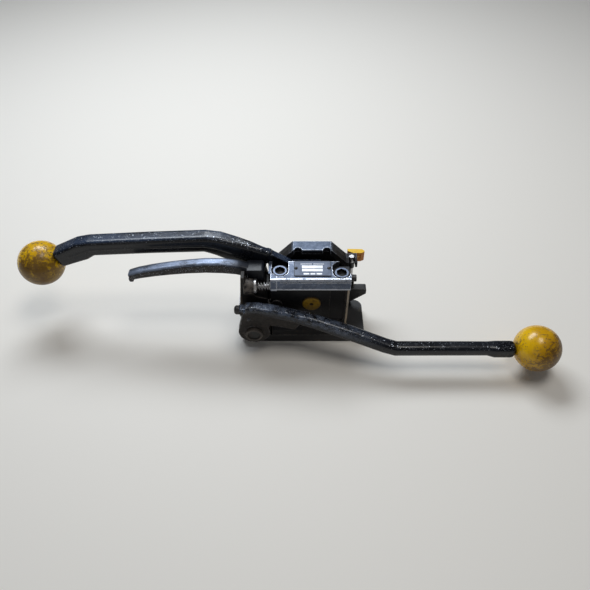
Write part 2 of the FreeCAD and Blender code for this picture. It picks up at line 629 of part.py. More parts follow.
def make_ram():
    front = WALL_BACK + GAP
    left = RAM_BAY_LEFT + GAP
    right = RAM_BAY_RIGHT - GAP
    body = box((left, right), (front, CHEEK_REAR - GAP), (RAM_BOTTOM, RAM_SHOULDER))
    ears = []
    for y in ((front, -9.8), (-3.2, -0.2)):
        cheek = join(rod_y(CAM_X, y, ROLLER_Z, 5.6),
                     box((CAM_X - 5.6, CAM_X + 5.6), y, (RAM_SHOULDER - 1, ROLLER_Z)))
        ears.append(cheek)
    body = join(body, *ears)
    body = cut(body,
               rod_y(CAM_X, (-9.8, -3.2), ROLLER_Z, ROLLER_R + 0.5),
               rod_y(CAM_X, (front, 0), ROLLER_Z, ROLLER_PIN_R),
               box((left, left + BLADE_THICKNESS), (-10.5, CHEEK_REAR), (RAM_BOTTOM, 44)))
    for x in RAM_SPRING_X:
        body = body.cut(box((x - 1.8, x + 1.8), (front, STRAP_EDGE_GUIDE + 0.2), (RAM_BOTTOM, 40)))
    for z in BLADE_SCREW_Z:
        body = cut(body, rod_x((left, left + 6), 0, z, BLADE_SCREW_R))
    for x in PUNCH_X:
        body = cut(body, rod_z(x, 0, (RAM_BOTTOM, RAM_BOTTOM + 10), PUNCH_SHANK_R))
    return body


def make_punch(x):
    """Pair of bevelled shear edges on one shank."""
    profile = ((x - 3, RAM_BOTTOM), (x + 3, RAM_BOTTOM), (x + 3, PUNCH_TIP + 1.5),
               (x, PUNCH_TIP), (x - 3, PUNCH_TIP + 1.5))
    blade = plate_y(profile, (-8, 8))
    return join(blade, rod_z(x, 0, (RAM_BOTTOM, RAM_BOTTOM + 10), PUNCH_SHANK_R))


def make_blade():
    left = RAM_BAY_LEFT + GAP
    right = left + BLADE_THICKNESS
    profile = ((left, 44), (right, 44), (right, 19.5), (left, 18.2))
    blade = plate_y(profile, (-9.0, 9.6))
    for z in BLADE_SCREW_Z:
        blade = cut(blade, rod_x((left, right), 0, z, BLADE_SCREW_R), rod_x((left, left + 1.4), 0, z, 2.6))
    return blade


def make_blade_screws():
    left = RAM_BAY_LEFT + GAP
    screws = []
    for z in BLADE_SCREW_Z:
        head = rod_x((left + 0.2, left + 1.4), 0, z, 2.6)
        screws.append(join(head, rod_x((left + 0.2, left + 6), 0, z, BLADE_SCREW_R)))
    return group(screws)


save("ram", make_ram())
save("punches", group(make_punch(x) for x in PUNCH_X))
save("cutter_blade", make_blade())
save("blade_screws", make_blade_screws())
save("roller_pin", rod_y(CAM_X, (WALL_BACK + GAP, -0.2), ROLLER_Z, ROLLER_PIN_R))
save("cam_roller", rod_y(CAM_X, CAM_DEPTH, ROLLER_Z, ROLLER_R - 0.02).cut(
    rod_y(CAM_X, CAM_DEPTH, ROLLER_Z, ROLLER_PIN_R + FIT)))


# ---------------------------------------------------------------- rocker

def make_rocker():
    front = (ROCKER_WALL_FRONT, -ROCKER_POCKET)
    rear = (ROCKER_POCKET, ROCKER_WALL_REAR)
    left_side = [(ROCKER_LEFT + 1, 33), (ROCKER_LEFT, 48), (ROCKER_LEFT, 60)]
    bottom = arc_points(FEED_X, FEED_Z, 14.5, 190, 340, 16)
    front_outline = bottom + [(ROCKER_RIGHT, 46), (ROCKER_RIGHT, 68), (-50, 72), (-56, 80), (-62, 88),
                              (-62, 101), (-66, 101)] + left_side[::-1]
    rear_outline = bottom + [(-38.9, 46), (-38.9, 58), (-43.5, 80), (-63, 80)] + left_side[::-1]
    front_wall = plate_y(front_outline, front)
    rear_wall = plate_y(rear_outline, rear)
    crown_right = ROCKER_RIGHT - 1.0
    crown = plate_y(((ROCKER_LEFT, 54), (crown_right, 54), (crown_right, 65), (-46, 78), (-63, 80),
                     (ROCKER_LEFT, 60)), (-ROCKER_POCKET, ROCKER_POCKET))
    tongue = join(box((-41, PIVOT_X), TONGUE_DEPTH, (PIVOT_Z - 8, PIVOT_Z + 8)),
                  rod_y(PIVOT_X, TONGUE_DEPTH, PIVOT_Z, 8.0))
    seat_boss = Part.makeCone(9.2, SEAT_R, SEAT_X + 63.5, V(-63.5, SPRING_Y, SPRING_Z), AXIS_X)
    body = join(front_wall, rear_wall, crown, tongue, seat_boss)
    wheel_room = rod_y(FEED_X, (-ROCKER_POCKET, ROCKER_POCKET), FEED_Z, WHEEL_R + 0.8)
    body = cut(body, wheel_room,
               rod_y(FEED_X, (ROCKER_WALL_FRONT, ROCKER_WALL_REAR), FEED_Z, SHAFT_BUSH_R),
               rod_y(PIVOT_X, TONGUE_DEPTH, PIVOT_Z, PIVOT_BUSH_R),
               LEVER_SLOT, LEVER_LEDGE,
               rod_y(HOLD_X, (ROCKER_WALL_FRONT, -20), HOLD_Z, SMALL_PIN_R))
    for x in LEVER_PIN_X:
        body = cut(body, rod_z(x, LEVER_PIN_Y, (64, 79), SMALL_PIN_R))
    return body


def make_rocker_lever():
    foot = box((-63.5, -46), (-10.2, 0.2), (78, 90))
    root = box((-63.5, -42), (-16, 0.2), (86.8, 101))
    root = rounded(root, 3.0, lambda c, e: runs_along(e, AXIS_Y) and c.z > 100)
    lip = box((-188.4, -183.4), (RELEASE_Y - 5, RELEASE_Y + 5), (79.5, 86))
    lever = join(foot, root, lever_bar(RELEASE_BAR), rounded(lip, 1.6, lambda c, e: c.z < 80))
    for x in LEVER_PIN_X:
        lever = cut(lever, rod_z(x, LEVER_PIN_Y, (78, 97), SMALL_PIN_R))
    return lever


def make_spring_seat():
    seat = rod_x((SEAT_X, SEAT_X + 3), SPRING_Y, SPRING_Z, SEAT_R)
    seat = bevel(seat, 0.8, lambda c, e: c.x > SEAT_X + 2.9)
    return cut(seat, rod_x((SEAT_X + 1, SEAT_X + 3), SPRING_Y, SPRING_Z, 5.6), LEVER_LEDGE)


def make_shaft_bushes():
    bushes = []
    for y in ((ROCKER_WALL_FRONT, -ROCKER_POCKET), (ROCKER_POCKET, ROCKER_WALL_REAR)):
        bush = rod_y(FEED_X, y, FEED_Z, SHAFT_BUSH_R)
        bushes.append(bush.cut(rod_y(FEED_X, y, FEED_Z, FEED_SHAFT_R + FIT)))
    return group(bushes)


save("rocker_body", make_rocker())
save("rocker_lever", make_rocker_lever())
save("rocker_lever_pins", group(rod_z(x, LEVER_PIN_Y, (64, 96.6), SMALL_PIN_R)
                                for x in LEVER_PIN_X))
save("spring_seat", make_spring_seat())
save("rocker_bush", rod_y(PIVOT_X, TONGUE_DEPTH, PIVOT_Z, PIVOT_BUSH_R).cut(
    rod_y(PIVOT_X, TONGUE_DEPTH, PIVOT_Z, PIVOT_PIN_R + FIT)))
save("shaft_bushes", make_shaft_bushes())
save("holding_pawl_pin", rod_y(HOLD_X, (-32.4, -20), HOLD_Z, SMALL_PIN_R))


def make_holding_pawl():
    y = (-32.0, -28.0)
    tip = arc_points(FEED_X, FEED_Z, RATCHET_TIP_R + 0.35, 100, 92, 3)
    outline = [(HOLD_X, HOLD_Z - 3)] + tip + [(FEED_X - 1.2, FEED_Z + 17), (HOLD_X, HOLD_Z + 4)]
    pawl = join(plate_y(outline, y), rod_y(HOLD_X, y, HOLD_Z, 4.0))
    return pawl.cut(rod_y(HOLD_X, y, HOLD_Z, SMALL_PIN_R + FIT))


save("holding_pawl", make_holding_pawl())

# ---------------------------------------------------------------- feed shaft


def make_feed_wheel():
    wheel = rod_y(FEED_X, (-WHEEL_HALF, WHEEL_HALF), FEED_Z, WHEEL_R)
    grooves = []
    count = 60
    for step in range(count):
        turn = math.radians(360.0 * step / count)
        x = FEED_X + WHEEL_R * math.cos(turn)
        z = FEED_Z + WHEEL_R * math.sin(turn)
        grooves.append(rod_y(x, (-WHEEL_HALF, WHEEL_HALF), z, 0.55))
    wheel = wheel.cut(Part.Compound(grooves))
    return cut(wheel, rod_y(FEED_X, (-WHEEL_HALF, WHEEL_HALF), FEED_Z, FEED_SHAFT_R), WHEEL_KEY)


def make_ratchet():
    """Radial working faces turned against the holding pawl, long backs behind them."""
    y = (-41.6, RATCHET_REAR)
    outline = []
    pitch = 360.0 / RATCHET_TEETH
    for tooth in range(RATCHET_TEETH):
        start = FLANK_ANGLE + tooth * pitch
        for offset, radius in ((0, RATCHET_ROOT_R), (0.4, RATCHET_ROOT_R), (pitch - 6, RATCHET_TIP_R),
                               (pitch - 0.4, RATCHET_TIP_R)):
            turn = math.radians(start + offset)
            outline.append((FEED_X + radius * math.cos(turn), FEED_Z + radius * math.sin(turn)))
    wheel = plate_y(outline, y)
    return cut(wheel, rod_y(FEED_X, y, FEED_Z, FEED_SHAFT_R), RATCHET_KEY)


def make_shaft_cap():
    """Ring pressed on the end of the feed shaft."""
    depth = (-50, HUB_FRONT - GAP)
    cap = rod_y(FEED_X, depth, FEED_Z, 9.5).cut(rod_y(FEED_X, depth, FEED_Z, FEED_SHAFT_R))
    return rounded(cap, 0.8, lambda c, e: c.y < -49.9)


feed_shaft = cut(rod_y(FEED_X, (-48.5, ROCKER_WALL_REAR + 1), FEED_Z, FEED_SHAFT_R), WHEEL_KEY, RATCHET_KEY)
save("feed_shaft", feed_shaft)
save("feed_wheel", make_feed_wheel())
save("shaft_keys", group((WHEEL_KEY, RATCHET_KEY)))
save("ratchet_wheel", make_ratchet())
save("shaft_end_cap", make_shaft_cap())


# ---------------------------------------------------------------- tension lever

def make_cover_blank():
    """The hub cover before its holes, which is also its seat in the hub."""
    round_end = arc_points(FEED_X, FEED_Z, HUB_R - 1.1, 10, -190, 30)
    return plate_y(list(HUB_COVER_EDGE) + round_end, (HUB_COVER_FRONT, HUB_BACK))


def make_tension_lever():
    round_hub = arc_points(FEED_X, FEED_Z, HUB_R, 25, -180, 40)
    plate = plate_y(list(HUB_EDGE) + round_hub, (WEB_FRONT, HUB_BACK))
    collar = rod_y(FEED_X, (HUB_FRONT, WEB_FRONT), FEED_Z, 11.0)
    stud = make_stud(TENSION_KNOB, AXIS_X)
    plug_boss = box((-68.8, -62), (-42.5, HUB_BACK), (58.8, 67.2))
    lever = join(plate, collar, lever_bar(TENSION_BAR), stud, plug_boss)
    cavity = join(rod_y(FEED_X, (HUB_CAVITY_FRONT, HUB_BACK), FEED_Z, 14.5),
                  plate_y(PAWL_ROOM, (HUB_CAVITY_FRONT, HUB_BACK)))
    lever = cut(lever, cavity,
                rod_y(FEED_X, (HUB_FRONT, HUB_BACK), FEED_Z, FEED_SHAFT_R + FIT),
                rod_y(PAWL_X, (WEB_FRONT, HUB_BACK), PAWL_Z, PAWL_PIN_R),
                rod_x((-69, -62), PAWL_PLUG_Y, PAWL_PLUG_Z, PAWL_PLUG_R))
    for x, z in HUB_SCREWS:
        lever = cut(lever, rod_y(x, (HUB_SCREW_END, HUB_BACK), z, HUB_SCREW_R))
    return lever.cut(make_cover_blank())


def make_hub_cover():
    y = (HUB_COVER_FRONT, HUB_BACK)
    cover = cut(make_cover_blank(), rod_y(FEED_X, y, FEED_Z, RATCHET_TIP_R + GAP),
                rod_y(PAWL_X, y, PAWL_Z, PAWL_PIN_R))
    for x, z in HUB_SCREWS:
        cover = cut(cover, rod_y(x, y, z, HUB_SCREW_R))
    return cover


def make_hub_screws():
    screws = []
    for x, z in HUB_SCREWS:
        shank = rod_y(x, (HUB_SCREW_END, HUB_BACK), z, HUB_SCREW_R)
        head = rod_y(x, (HUB_BACK, HUB_BACK + 1.2), z, 2.8)
        slot = box((x - 3, x + 3), (HUB_BACK + 0.6, HUB_BACK + 1.2), (z - 0.4, z + 0.4))
        screws.append(join(shank, head).cut(slot))
    return group(screws)


def make_plug_screw():
    head = rod_x((-74.5, -68.8), PAWL_PLUG_Y, PAWL_PLUG_Z, 5.0)
    head = rounded(head, 3.0, lambda c, e: c.x < -74)
    return join(head, rod_x((-69, -64), PAWL_PLUG_Y, PAWL_PLUG_Z, PAWL_PLUG_R))


def make_drive_pawl():
    """Its tip stands a little behind a working face, so that it lifts clear of the tooth."""
    y = (-41.5, -34.9)
    tip = arc_points(FEED_X, FEED_Z, TIP_REST_R, FLANK_ANGLE + TIP_BACK, FLANK_ANGLE + TIP_BACK + 4.0, 1)
    over_next = arc_points(FEED_X, FEED_Z, RATCHET_TIP_R + 0.3, 97, 100, 1)
    back = arc_points(FEED_X, FEED_Z, 18.5, FLANK_ANGLE + 6, FLANK_ANGLE + 6, 1)[:1]
    outline = tip + over_next + [(PAWL_X - 3.6, PAWL_Z - 2), (PAWL_X - 2.5, PAWL_Z + 3.4),
                                 (PAWL_X + 2, PAWL_Z + 4.1)] + back
    pawl = join(plate_y(outline, y), rod_y(PAWL_X, y, PAWL_Z, 4.2))
    return pawl.cut(rod_y(PAWL_X, y, PAWL_Z, PAWL_PIN_R + FIT))


save("tension_lever", make_tension_lever())
save("tension_knob", make_knob(TENSION_KNOB, AXIS_X))
save("hub_cover", make_hub_cover())
save("hub_cover_screws", make_hub_screws())
save("pawl_pin", rod_y(PAWL_X, (WEB_FRONT, HUB_BACK), PAWL_Z, PAWL_PIN_R))
save("pawl_spring_plug", make_plug_screw())
save("drive_pawl", make_drive_pawl())

# ---------------------------------------------------------------- strap stop and gripper


def make_strap_stop():
    nose = plate_y(NOSE_OUTLINE, (10.6, STOP_Y))
    nose = rounded(nose, 2.0, lambda c, e: runs_along(e, AXIS_Y) and c.x > 73)
    collar = rod_z(STOP_X, STOP_Y, (STOP_FOOT, STOP_TOP), 3.7)
    return join(nose, collar).cut(rod_z(STOP_X, STOP_Y, (STOP_FOOT, STOP_TOP), STOP_SPINDLE_R))


def make_thumb_lever():
    hub = rod_z(STOP_X, STOP_Y, THUMB_DEPTH, 3.8)
    arm = plate_z(((STOP_X - 0.2, STOP_Y), (STOP_X + 3.6, STOP_Y), (60, 27), (66, 27.6), (69.5, 29.5),
                   (69.5, 31.5), (67, 33), (56, 33), (STOP_X - 0.2, 31)), THUMB_DEPTH)
    raised = plate_z(((57, 27.6), (66, 27.6), (69.5, 29.5), (69.5, 31.5), (67, 34), (50.5, 34.5),
                      (50.5, 31)), (79, THUMB_TOP))
    lever = join(hub, arm, raised)
    return lever.cut(rod_z(STOP_X, STOP_Y, (72, 80), STOP_SPINDLE_R))


def make_gripper():
    plate = box((-63, -45), (-9, 9), (GRIPPER_BOTTOM, GRIPPER_TOP))
    grooves = []
    for x in range(-62, -45, 2):
        groove = ((x - 0.6, GRIPPER_TOP), (x + 0.6, GRIPPER_TOP), (x, GRIPPER_TOP - 0.6))
        grooves.append(plate_y(groove, (-9, 9)))
    plate = plate.cut(Part.Compound(grooves))
    for x in GRIPPER_SPRING_X:
        plate = cut(plate, rod_z(x, 0, (GRIPPER_BOTTOM, 9.8), 2.3))
    return plate


save("stop_spindle", rod_z(STOP_X, STOP_Y, (STOP_FOOT, 88.0), STOP_SPINDLE_R))
save("strap_stop", make_strap_stop())
save("thumb_lever", make_thumb_lever())
save("gripper_plate", make_gripper())
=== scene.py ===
import math

import bmesh
import bpy
from mathutils import Matrix, Vector


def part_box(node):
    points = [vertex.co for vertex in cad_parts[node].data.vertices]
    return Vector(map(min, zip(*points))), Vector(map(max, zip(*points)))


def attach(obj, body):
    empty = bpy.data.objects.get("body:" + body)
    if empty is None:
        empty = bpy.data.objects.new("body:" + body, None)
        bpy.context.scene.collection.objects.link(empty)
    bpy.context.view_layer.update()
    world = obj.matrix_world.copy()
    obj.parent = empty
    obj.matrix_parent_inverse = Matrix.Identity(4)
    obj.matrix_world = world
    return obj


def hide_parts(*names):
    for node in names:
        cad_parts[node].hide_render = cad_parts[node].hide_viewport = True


# Sealless strapping tool: head with a top cover and a rear bridge, rocker with the feed wheel on
# its left, two long levers with ball knobs, a short release lever and a strap stop.

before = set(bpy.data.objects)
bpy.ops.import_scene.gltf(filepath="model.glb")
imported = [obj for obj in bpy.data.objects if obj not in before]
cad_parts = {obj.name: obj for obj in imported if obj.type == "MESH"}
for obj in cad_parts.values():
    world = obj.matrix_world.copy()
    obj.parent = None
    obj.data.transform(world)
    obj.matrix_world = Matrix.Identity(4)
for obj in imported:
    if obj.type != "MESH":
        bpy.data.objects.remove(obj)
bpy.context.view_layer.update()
MM = 0.001
X_AXIS = Vector((1, 0, 0))
Y_AXIS = Vector((0, 1, 0))
Z_AXIS = Vector((0, 0, 1))


def mm(x, y, z):
    """A point given in millimetres."""
    return Vector((x, y, z)) * MM


# ---------------------------------------------------------------- shader building

class Value:
    """A shader socket that takes part in arithmetic."""

    def __init__(self, shade, socket):
        self.shade = shade
        self.socket = socket

    def maths(self, operation, *others):
        values = {index: other for index, other in enumerate((self,) + others)}
        return self.shade.add("ShaderNodeMath", {"operation": operation}, values)[0]

    def swapped(self, operation, other):
        return self.shade.add("ShaderNodeMath", {"operation": operation}, {0: other, 1: self})[0]

    def __add__(self, other):
        return self.maths("ADD", other)

    def __radd__(self, other):
        return self.swapped("ADD", other)

    def __sub__(self, other):
        return self.maths("SUBTRACT", other)

    def __rsub__(self, other):
        return self.swapped("SUBTRACT", other)

    def __mul__(self, other):
        return self.maths("MULTIPLY", other)

    def __rmul__(self, other):
        return self.swapped("MULTIPLY", other)

    def __pow__(self, other):
        return self.maths("POWER", other)

    def band(self, low, high):
        """0 below low, 1 above high, smooth between them."""
        return self.shade.add(
            "ShaderNodeMapRange", {"interpolation_type": "SMOOTHSTEP"},
            {"Value": self, "From Min": low, "From Max": high, "To Min": 0.0, "To Max": 1.0})["Result"]

    def band_mm(self, low, high):
        """The same for a length, its two ends given in millimetres."""
        return self.band(low * MM, high * MM)

    def clipped(self):
        return self.shade.add("ShaderNodeClamp", {}, {"Value": self})[0]

    def most(self, other):
        return self.maths("MAXIMUM", other)

    def least(self, other):
        return self.maths("MINIMUM", other)


class Outputs:
    """A node's outputs, as values, by name or number."""

    def __init__(self, shade, node):
        self.shade = shade
        self.node = node

    def __getitem__(self, key):
        return Value(self.shade, self.node.outputs[key])


class Shade:
    """One procedural material."""

    def __init__(self, name):
        self.material = bpy.data.materials.new(name)
        self.material.use_nodes = True
        self.tree = self.material.node_tree
        self.tree.nodes.clear()
        self.surface = self.tree.nodes.new("ShaderNodeBsdfPrincipled")
        output = self.tree.nodes.new("ShaderNodeOutputMaterial")
        self.tree.links.new(self.surface.outputs["BSDF"], output.inputs["Surface"])
        self.place = self.add("ShaderNodeTexCoord")["Object"]
        self.facing = self.add("ShaderNodeNewGeometry")

    def add(self, kind, settings=None, values=None):
        """Any node: its type, its settings, and the values or links of its sockets."""
        node = self.tree.nodes.new(kind)
        for key, setting in (settings or {}).items():
            setattr(node, key, setting)
        for key, value in (values or {}).items():
            self.feed(node.inputs[key], value)
        return Outputs(self, node)

    def feed(self, socket, value):
        if isinstance(value, Value):
            self.tree.links.new(value.socket, socket)
        else:
            socket.default_value = value

    def set(self, **inputs):
        for key, value in inputs.items():
            self.feed(self.surface.inputs[key.replace("_", " ")], value)

    def noise(self, scale, detail=4.0, rough=0.6, stretch=(1, 1, 1), shift=(0, 0, 0), twist=0.0):
        """Noise from 0 to 1, scale in cycles per metre, stretched along the object's axes."""
        spot = self.add("ShaderNodeMapping", {"vector_type": "POINT"},
                        {"Vector": self.place, "Scale": stretch, "Location": shift})[0]
        return self.add("ShaderNodeTexNoise", {},
                        {"Vector": spot, "Scale": scale, "Detail": detail, "Roughness": rough,
                         "Distortion": twist})["Fac"]

    def flecks(self, scale, fill, stretch=(1, 1, 1), shift=(0, 0, 0)):
        """Scattered irregular chips covering about `fill` of the surface."""
        spot = self.add("ShaderNodeMapping", {"vector_type": "POINT"},
                        {"Vector": self.place, "Scale": stretch, "Location": shift})[0]
        cells = self.add("ShaderNodeTexVoronoi", {"feature": "F1"},
                         {"Vector": spot, "Scale": scale, "Randomness": 1.0})
        spread = self.noise(scale * 0.35, 3.0, 0.7, stretch, shift)
        return (1.0 - cells["Distance"].band(0.12, 0.3)) * spread.band(0.62 - fill, 0.7 - fill)

    def scratches(self, scale, amount, turn, shift=(0, 0, 0)):
        """Fine straight marks, turned about the object's axes."""
        spot = self.add("ShaderNodeMapping", {"vector_type": "POINT"},
                        {"Vector": self.place, "Scale": (1.0, 14.0, 14.0), "Rotation": turn,
                         "Location": shift})[0]
        lines = self.add("ShaderNodeTexNoise", {},
                         {"Vector": spot, "Scale": scale, "Detail": 3.0, "Roughness": 0.55})["Fac"]
        return lines.band(0.74 - amount, 0.8 - amount)

    def edges(self, reach, low=0.02, high=0.12):
        """1 on outside and inside corners within reach, 0 on flats."""
        soft = self.add("ShaderNodeBevel", {"samples": 6}, {"Radius": reach * MM})[0]
        agree = self.add("ShaderNodeVectorMath", {"operation": "DOT_PRODUCT"},
                         {0: soft, 1: self.facing["Normal"]})["Value"]
        return (1.0 - agree).band(low, high)

    def up(self):
        """How far the surface faces up, -1 to 1."""
        return self.add("ShaderNodeSeparateXYZ", {}, {0: self.facing["Normal"]})["Z"]

    def along(self, axis):
        """Position along one axis, in metres."""
        return self.add("ShaderNodeSeparateXYZ", {}, {0: self.place})[axis]

    def past(self, axis, start, end):
        """0 before start and 1 after end along an axis, both in millimetres."""
        return self.along(axis).band_mm(start, end)

    def radial(self, first, second, centre):
        """Distance from a line along the third axis."""
        across = self.along(first) - centre[0]
        upward = self.along(second) - centre[1]
        return (across * across + upward * upward) ** 0.5

    def mix(self, factor, first, second):
        """Colour that goes from first to second."""
        return self.add("ShaderNodeMix", {"data_type": "RGBA"}, {0: factor, 6: first, 7: second})[2]

    def bump(self, height, strength, depth):
        """Relief from height, depth in millimetres."""
        self.set(Normal=self.add("ShaderNodeBump", {},
                                 {"Height": height, "Strength": strength, "Distance": depth * MM})[0])


def rgb(red, green, blue):
    return (red, green, blue, 1.0)


def middle(node, first, second):
    """Middle of a CAD node's box along two axes, given by number."""
    low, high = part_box(node)
    return (low[first] + high[first]) / 2, (low[second] + high[second]) / 2


# ---------------------------------------------------------------- finishes

# Darker and lighter patch of each ground colour.
LEVER_BLACK = rgb(0.0015, 0.002, 0.004), rgb(0.005, 0.007, 0.013)
RELEASE_BLACK = rgb(0.004, 0.005, 0.008), rgb(0.014, 0.017, 0.026)
CAP_SOIL = rgb(0.030, 0.024, 0.020), rgb(0.060, 0.048, 0.039)
HUB_SOIL = rgb(0.008, 0.007, 0.006), rgb(0.036, 0.028, 0.023)
HOOD_BLACK = rgb(0.004, 0.004, 0.006), rgb(0.014, 0.013, 0.015)
HOOD_BLUE = rgb(0.060, 0.078, 0.115), rgb(0.13, 0.16, 0.225)
COVER_BLUE = rgb(0.060, 0.078, 0.120), rgb(0.130, 0.165, 0.240)
HEAD_BLACK = rgb(0.003, 0.003, 0.004), rgb(0.010, 0.010, 0.012)
ROCKER_BLACK = rgb(0.004, 0.004, 0.005), rgb(0.014, 0.013, 0.013)
OXIDE_BLACK = rgb(0.035, 0.034, 0.036), rgb(0.085, 0.080, 0.078)
OILED_OXIDE = rgb(0.008, 0.008, 0.009), rgb(0.022, 0.021, 0.022)
BALL_YELLOW = rgb(0.84, 0.51, 0.0002), rgb(0.56, 0.29, 0.0002)
PLUG_OCHRE = rgb(0.40, 0.235, 0.012), rgb(0.24, 0.13, 0.010)
THUMB_YELLOW = rgb(0.90, 0.58, 0.001), rgb(0.80, 0.45, 0.001)
BUSH_BRONZE = rgb(0.45, 0.27, 0.10), rgb(0.20, 0.12, 0.05)

# Where a finish starts and where it is complete, in mm in the part's own frame.
RELEASE_ROOT_X = (-82, -64)
HUB_LEFT_X = -50
HUB_RIM_LEAN = 0.36
HUB_RIM_Z = (45.2, 47.5)
HUB_END_X = (4, 16)
TENSION_ROOT_X = (30, 90)
HOOD_CROWN_Z = (103.5, 105.0)
HOOD_RECESS_Y = (17.2, 17.8)
HOOD_RECESS_Z = (99.0, 100.0)
POCKET_Z = (97.2, 98.2)
POCKET_Y = (-25.5, -24.5)
COVER_FACE_Y = (-27.7, -26.8)
COVER_FOOT_Z = (84.5, 85.8)
COVER_FOOT_RAGGED = 4
COVER_LEFT_X = (-36.2, -35.0)
GROOVE_X = (-24.6, -24.0)
GROOVE_FOOT_Z = (94.4, 94.7)
GROOVE_TOP_Z = (95.3, 95.6)
LEDGE_Y = (-26.2, -24.6)
LEDGE_Z = (97.0, 97.8)
HEAD_CORNER_X = (46.8, 48.0)
HEAD_CORNER_Z = (18, 26)
HEAD_FRONT_Y = (-24.5, -23.0)
HEAD_DUST_Z = (20, 60)
THUMB_HUB_Y = (24.8, 26.2)
COVER_SCREWS_OFFSET_Y = 3
SEAT_BOSS_X = (-64, -63)
SEAT_BOSS_Y = (-34, -33)
ROCKER_FLANGE_X = (-67.2, -65.5)


def lever_paint(name):
    """Glossy black over forged steel: chipped to bare metal on top and along its edges, with a painted
    bluish sheen along its top.
    """
    s = Shade(name)
    clouds = s.noise(35, 5, 0.6)
    fine = s.noise(620, 3, 0.6)
    top = s.up().band(0.0, 0.8)
    chips = s.flecks(430, 0.12) * top
    sparkle = s.flecks(900, 0.14, shift=(2, 5, 1)) * s.up().band(0.15, 0.7)
    rub = s.edges(2.4, 0.012, 0.09) * s.noise(210, 5, 0.78).band(0.50, 0.63)
    lines = s.scratches(150, 0.03, (0.3, 0.1, 0.8)) * top
    worn = chips.most(sparkle * 0.8).most(rub).most(lines * 0.7).clipped()
    base = s.mix(clouds.band(0.3, 0.75), *LEVER_BLACK)
    # Painted sheen: upward faces tinted blue-grey in patches, standing in for the window light's
    # reflection.
    painted_sheen = s.up().band(0.45, 0.98) * s.noise(28, 5, 0.65, (0.35, 1, 1), (7, 2, 4)).band(0.34, 0.66)
    base = s.mix(painted_sheen * 0.75, base, rgb(0.045, 0.070, 0.130))
    under = (1.0 - s.up().band(-0.9, 0.0)) * s.noise(60, 4, 0.6, shift=(3, 1, 2)).band(0.32, 0.6)
    base = s.mix(under * 0.8, base, rgb(0.026, 0.018, 0.013))
    base = s.mix(worn * 0.9, base, rgb(0.60, 0.65, 0.74))
    s.set(Base_Color=base, Metallic=worn * 0.8,
          Roughness=(0.20 + clouds.band(0.35, 0.8) * 0.12 + fine * 0.08 + under * 0.3).clipped(),
          Specular_IOR_Level=0.3, Coat_Weight=0.22, Coat_Roughness=0.13)
    s.bump(fine * 0.25 + s.noise(150, 4, 0.6) * 0.8 - worn * 0.6, 0.5, 0.4)
    return s.material


def release_paint(name):
    """Release lever: painted blue-grey sheen on top, partly rubbed steel, brown-black in front, dark
    smooth root.
    """
    s = Shade(name)
    clouds = s.noise(90, 5, 0.65)
    fine = s.noise(700, 4, 0.7)
    top = s.up().band(0.1, 0.8)
    front = 1.0 - top
    free = 1.0 - s.past("X", *RELEASE_ROOT_X)
    # Painted sheen, partly rubbed steel: upward faces beyond the root turned blue-silver and half
    # metallic.
    rubbed = top * free * s.noise(75, 6, 0.75, (0.4, 1, 1), (2, 5, 1)).band(0.32, 0.58)
    specks = s.flecks(700, 0.22, shift=(3, 1, 6)) * free
    ridge = s.edges(1.8, 0.012, 0.09) * s.noise(180, 5, 0.75).band(0.38, 0.6) * free
    base = s.mix(clouds.band(0.3, 0.7), *RELEASE_BLACK)
    base = s.mix(rubbed * 0.9, base, rgb(0.23, 0.28, 0.39))
    base = s.mix(front * free * clouds.band(0.3, 0.6) * 0.7, base, rgb(0.030, 0.022, 0.018))
    bare = (specks * 0.8).most(ridge * 0.8).clipped()
    base = s.mix(bare, base, rgb(0.58, 0.62, 0.70))
    s.set(Base_Color=base, Metallic=(rubbed * 0.45 + bare * 0.5).clipped(),
          Roughness=(0.30 + clouds * 0.15 + front * 0.1).clipped(),
          Specular_IOR_Level=0.35)
    s.bump(fine * 0.4 + clouds * 0.6 - bare * 0.4, 0.5, 0.3)
    return s.material


def soiled_hub(name):
    """Paint buried under brown grease and dust, rubbed light along its rim."""
    s = Shade(name)
    clouds = s.noise(70, 5, 0.65)
    skin = s.noise(480, 5, 0.75)
    edge = s.edges(1.3, 0.012, 0.09) * s.noise(260, 5, 0.7).band(0.36, 0.6)
    base = s.mix(clouds.band(0.3, 0.75), *CAP_SOIL)
    base = s.mix(edge * 0.8, base, rgb(0.26, 0.23, 0.20))
    s.set(Base_Color=base, Metallic=edge * 0.4,
          Roughness=(0.48 + clouds * 0.25 - edge * 0.1).clipped())
    s.bump(skin * 0.6 + clouds * 0.5, 0.5, 0.3)
    return s.material


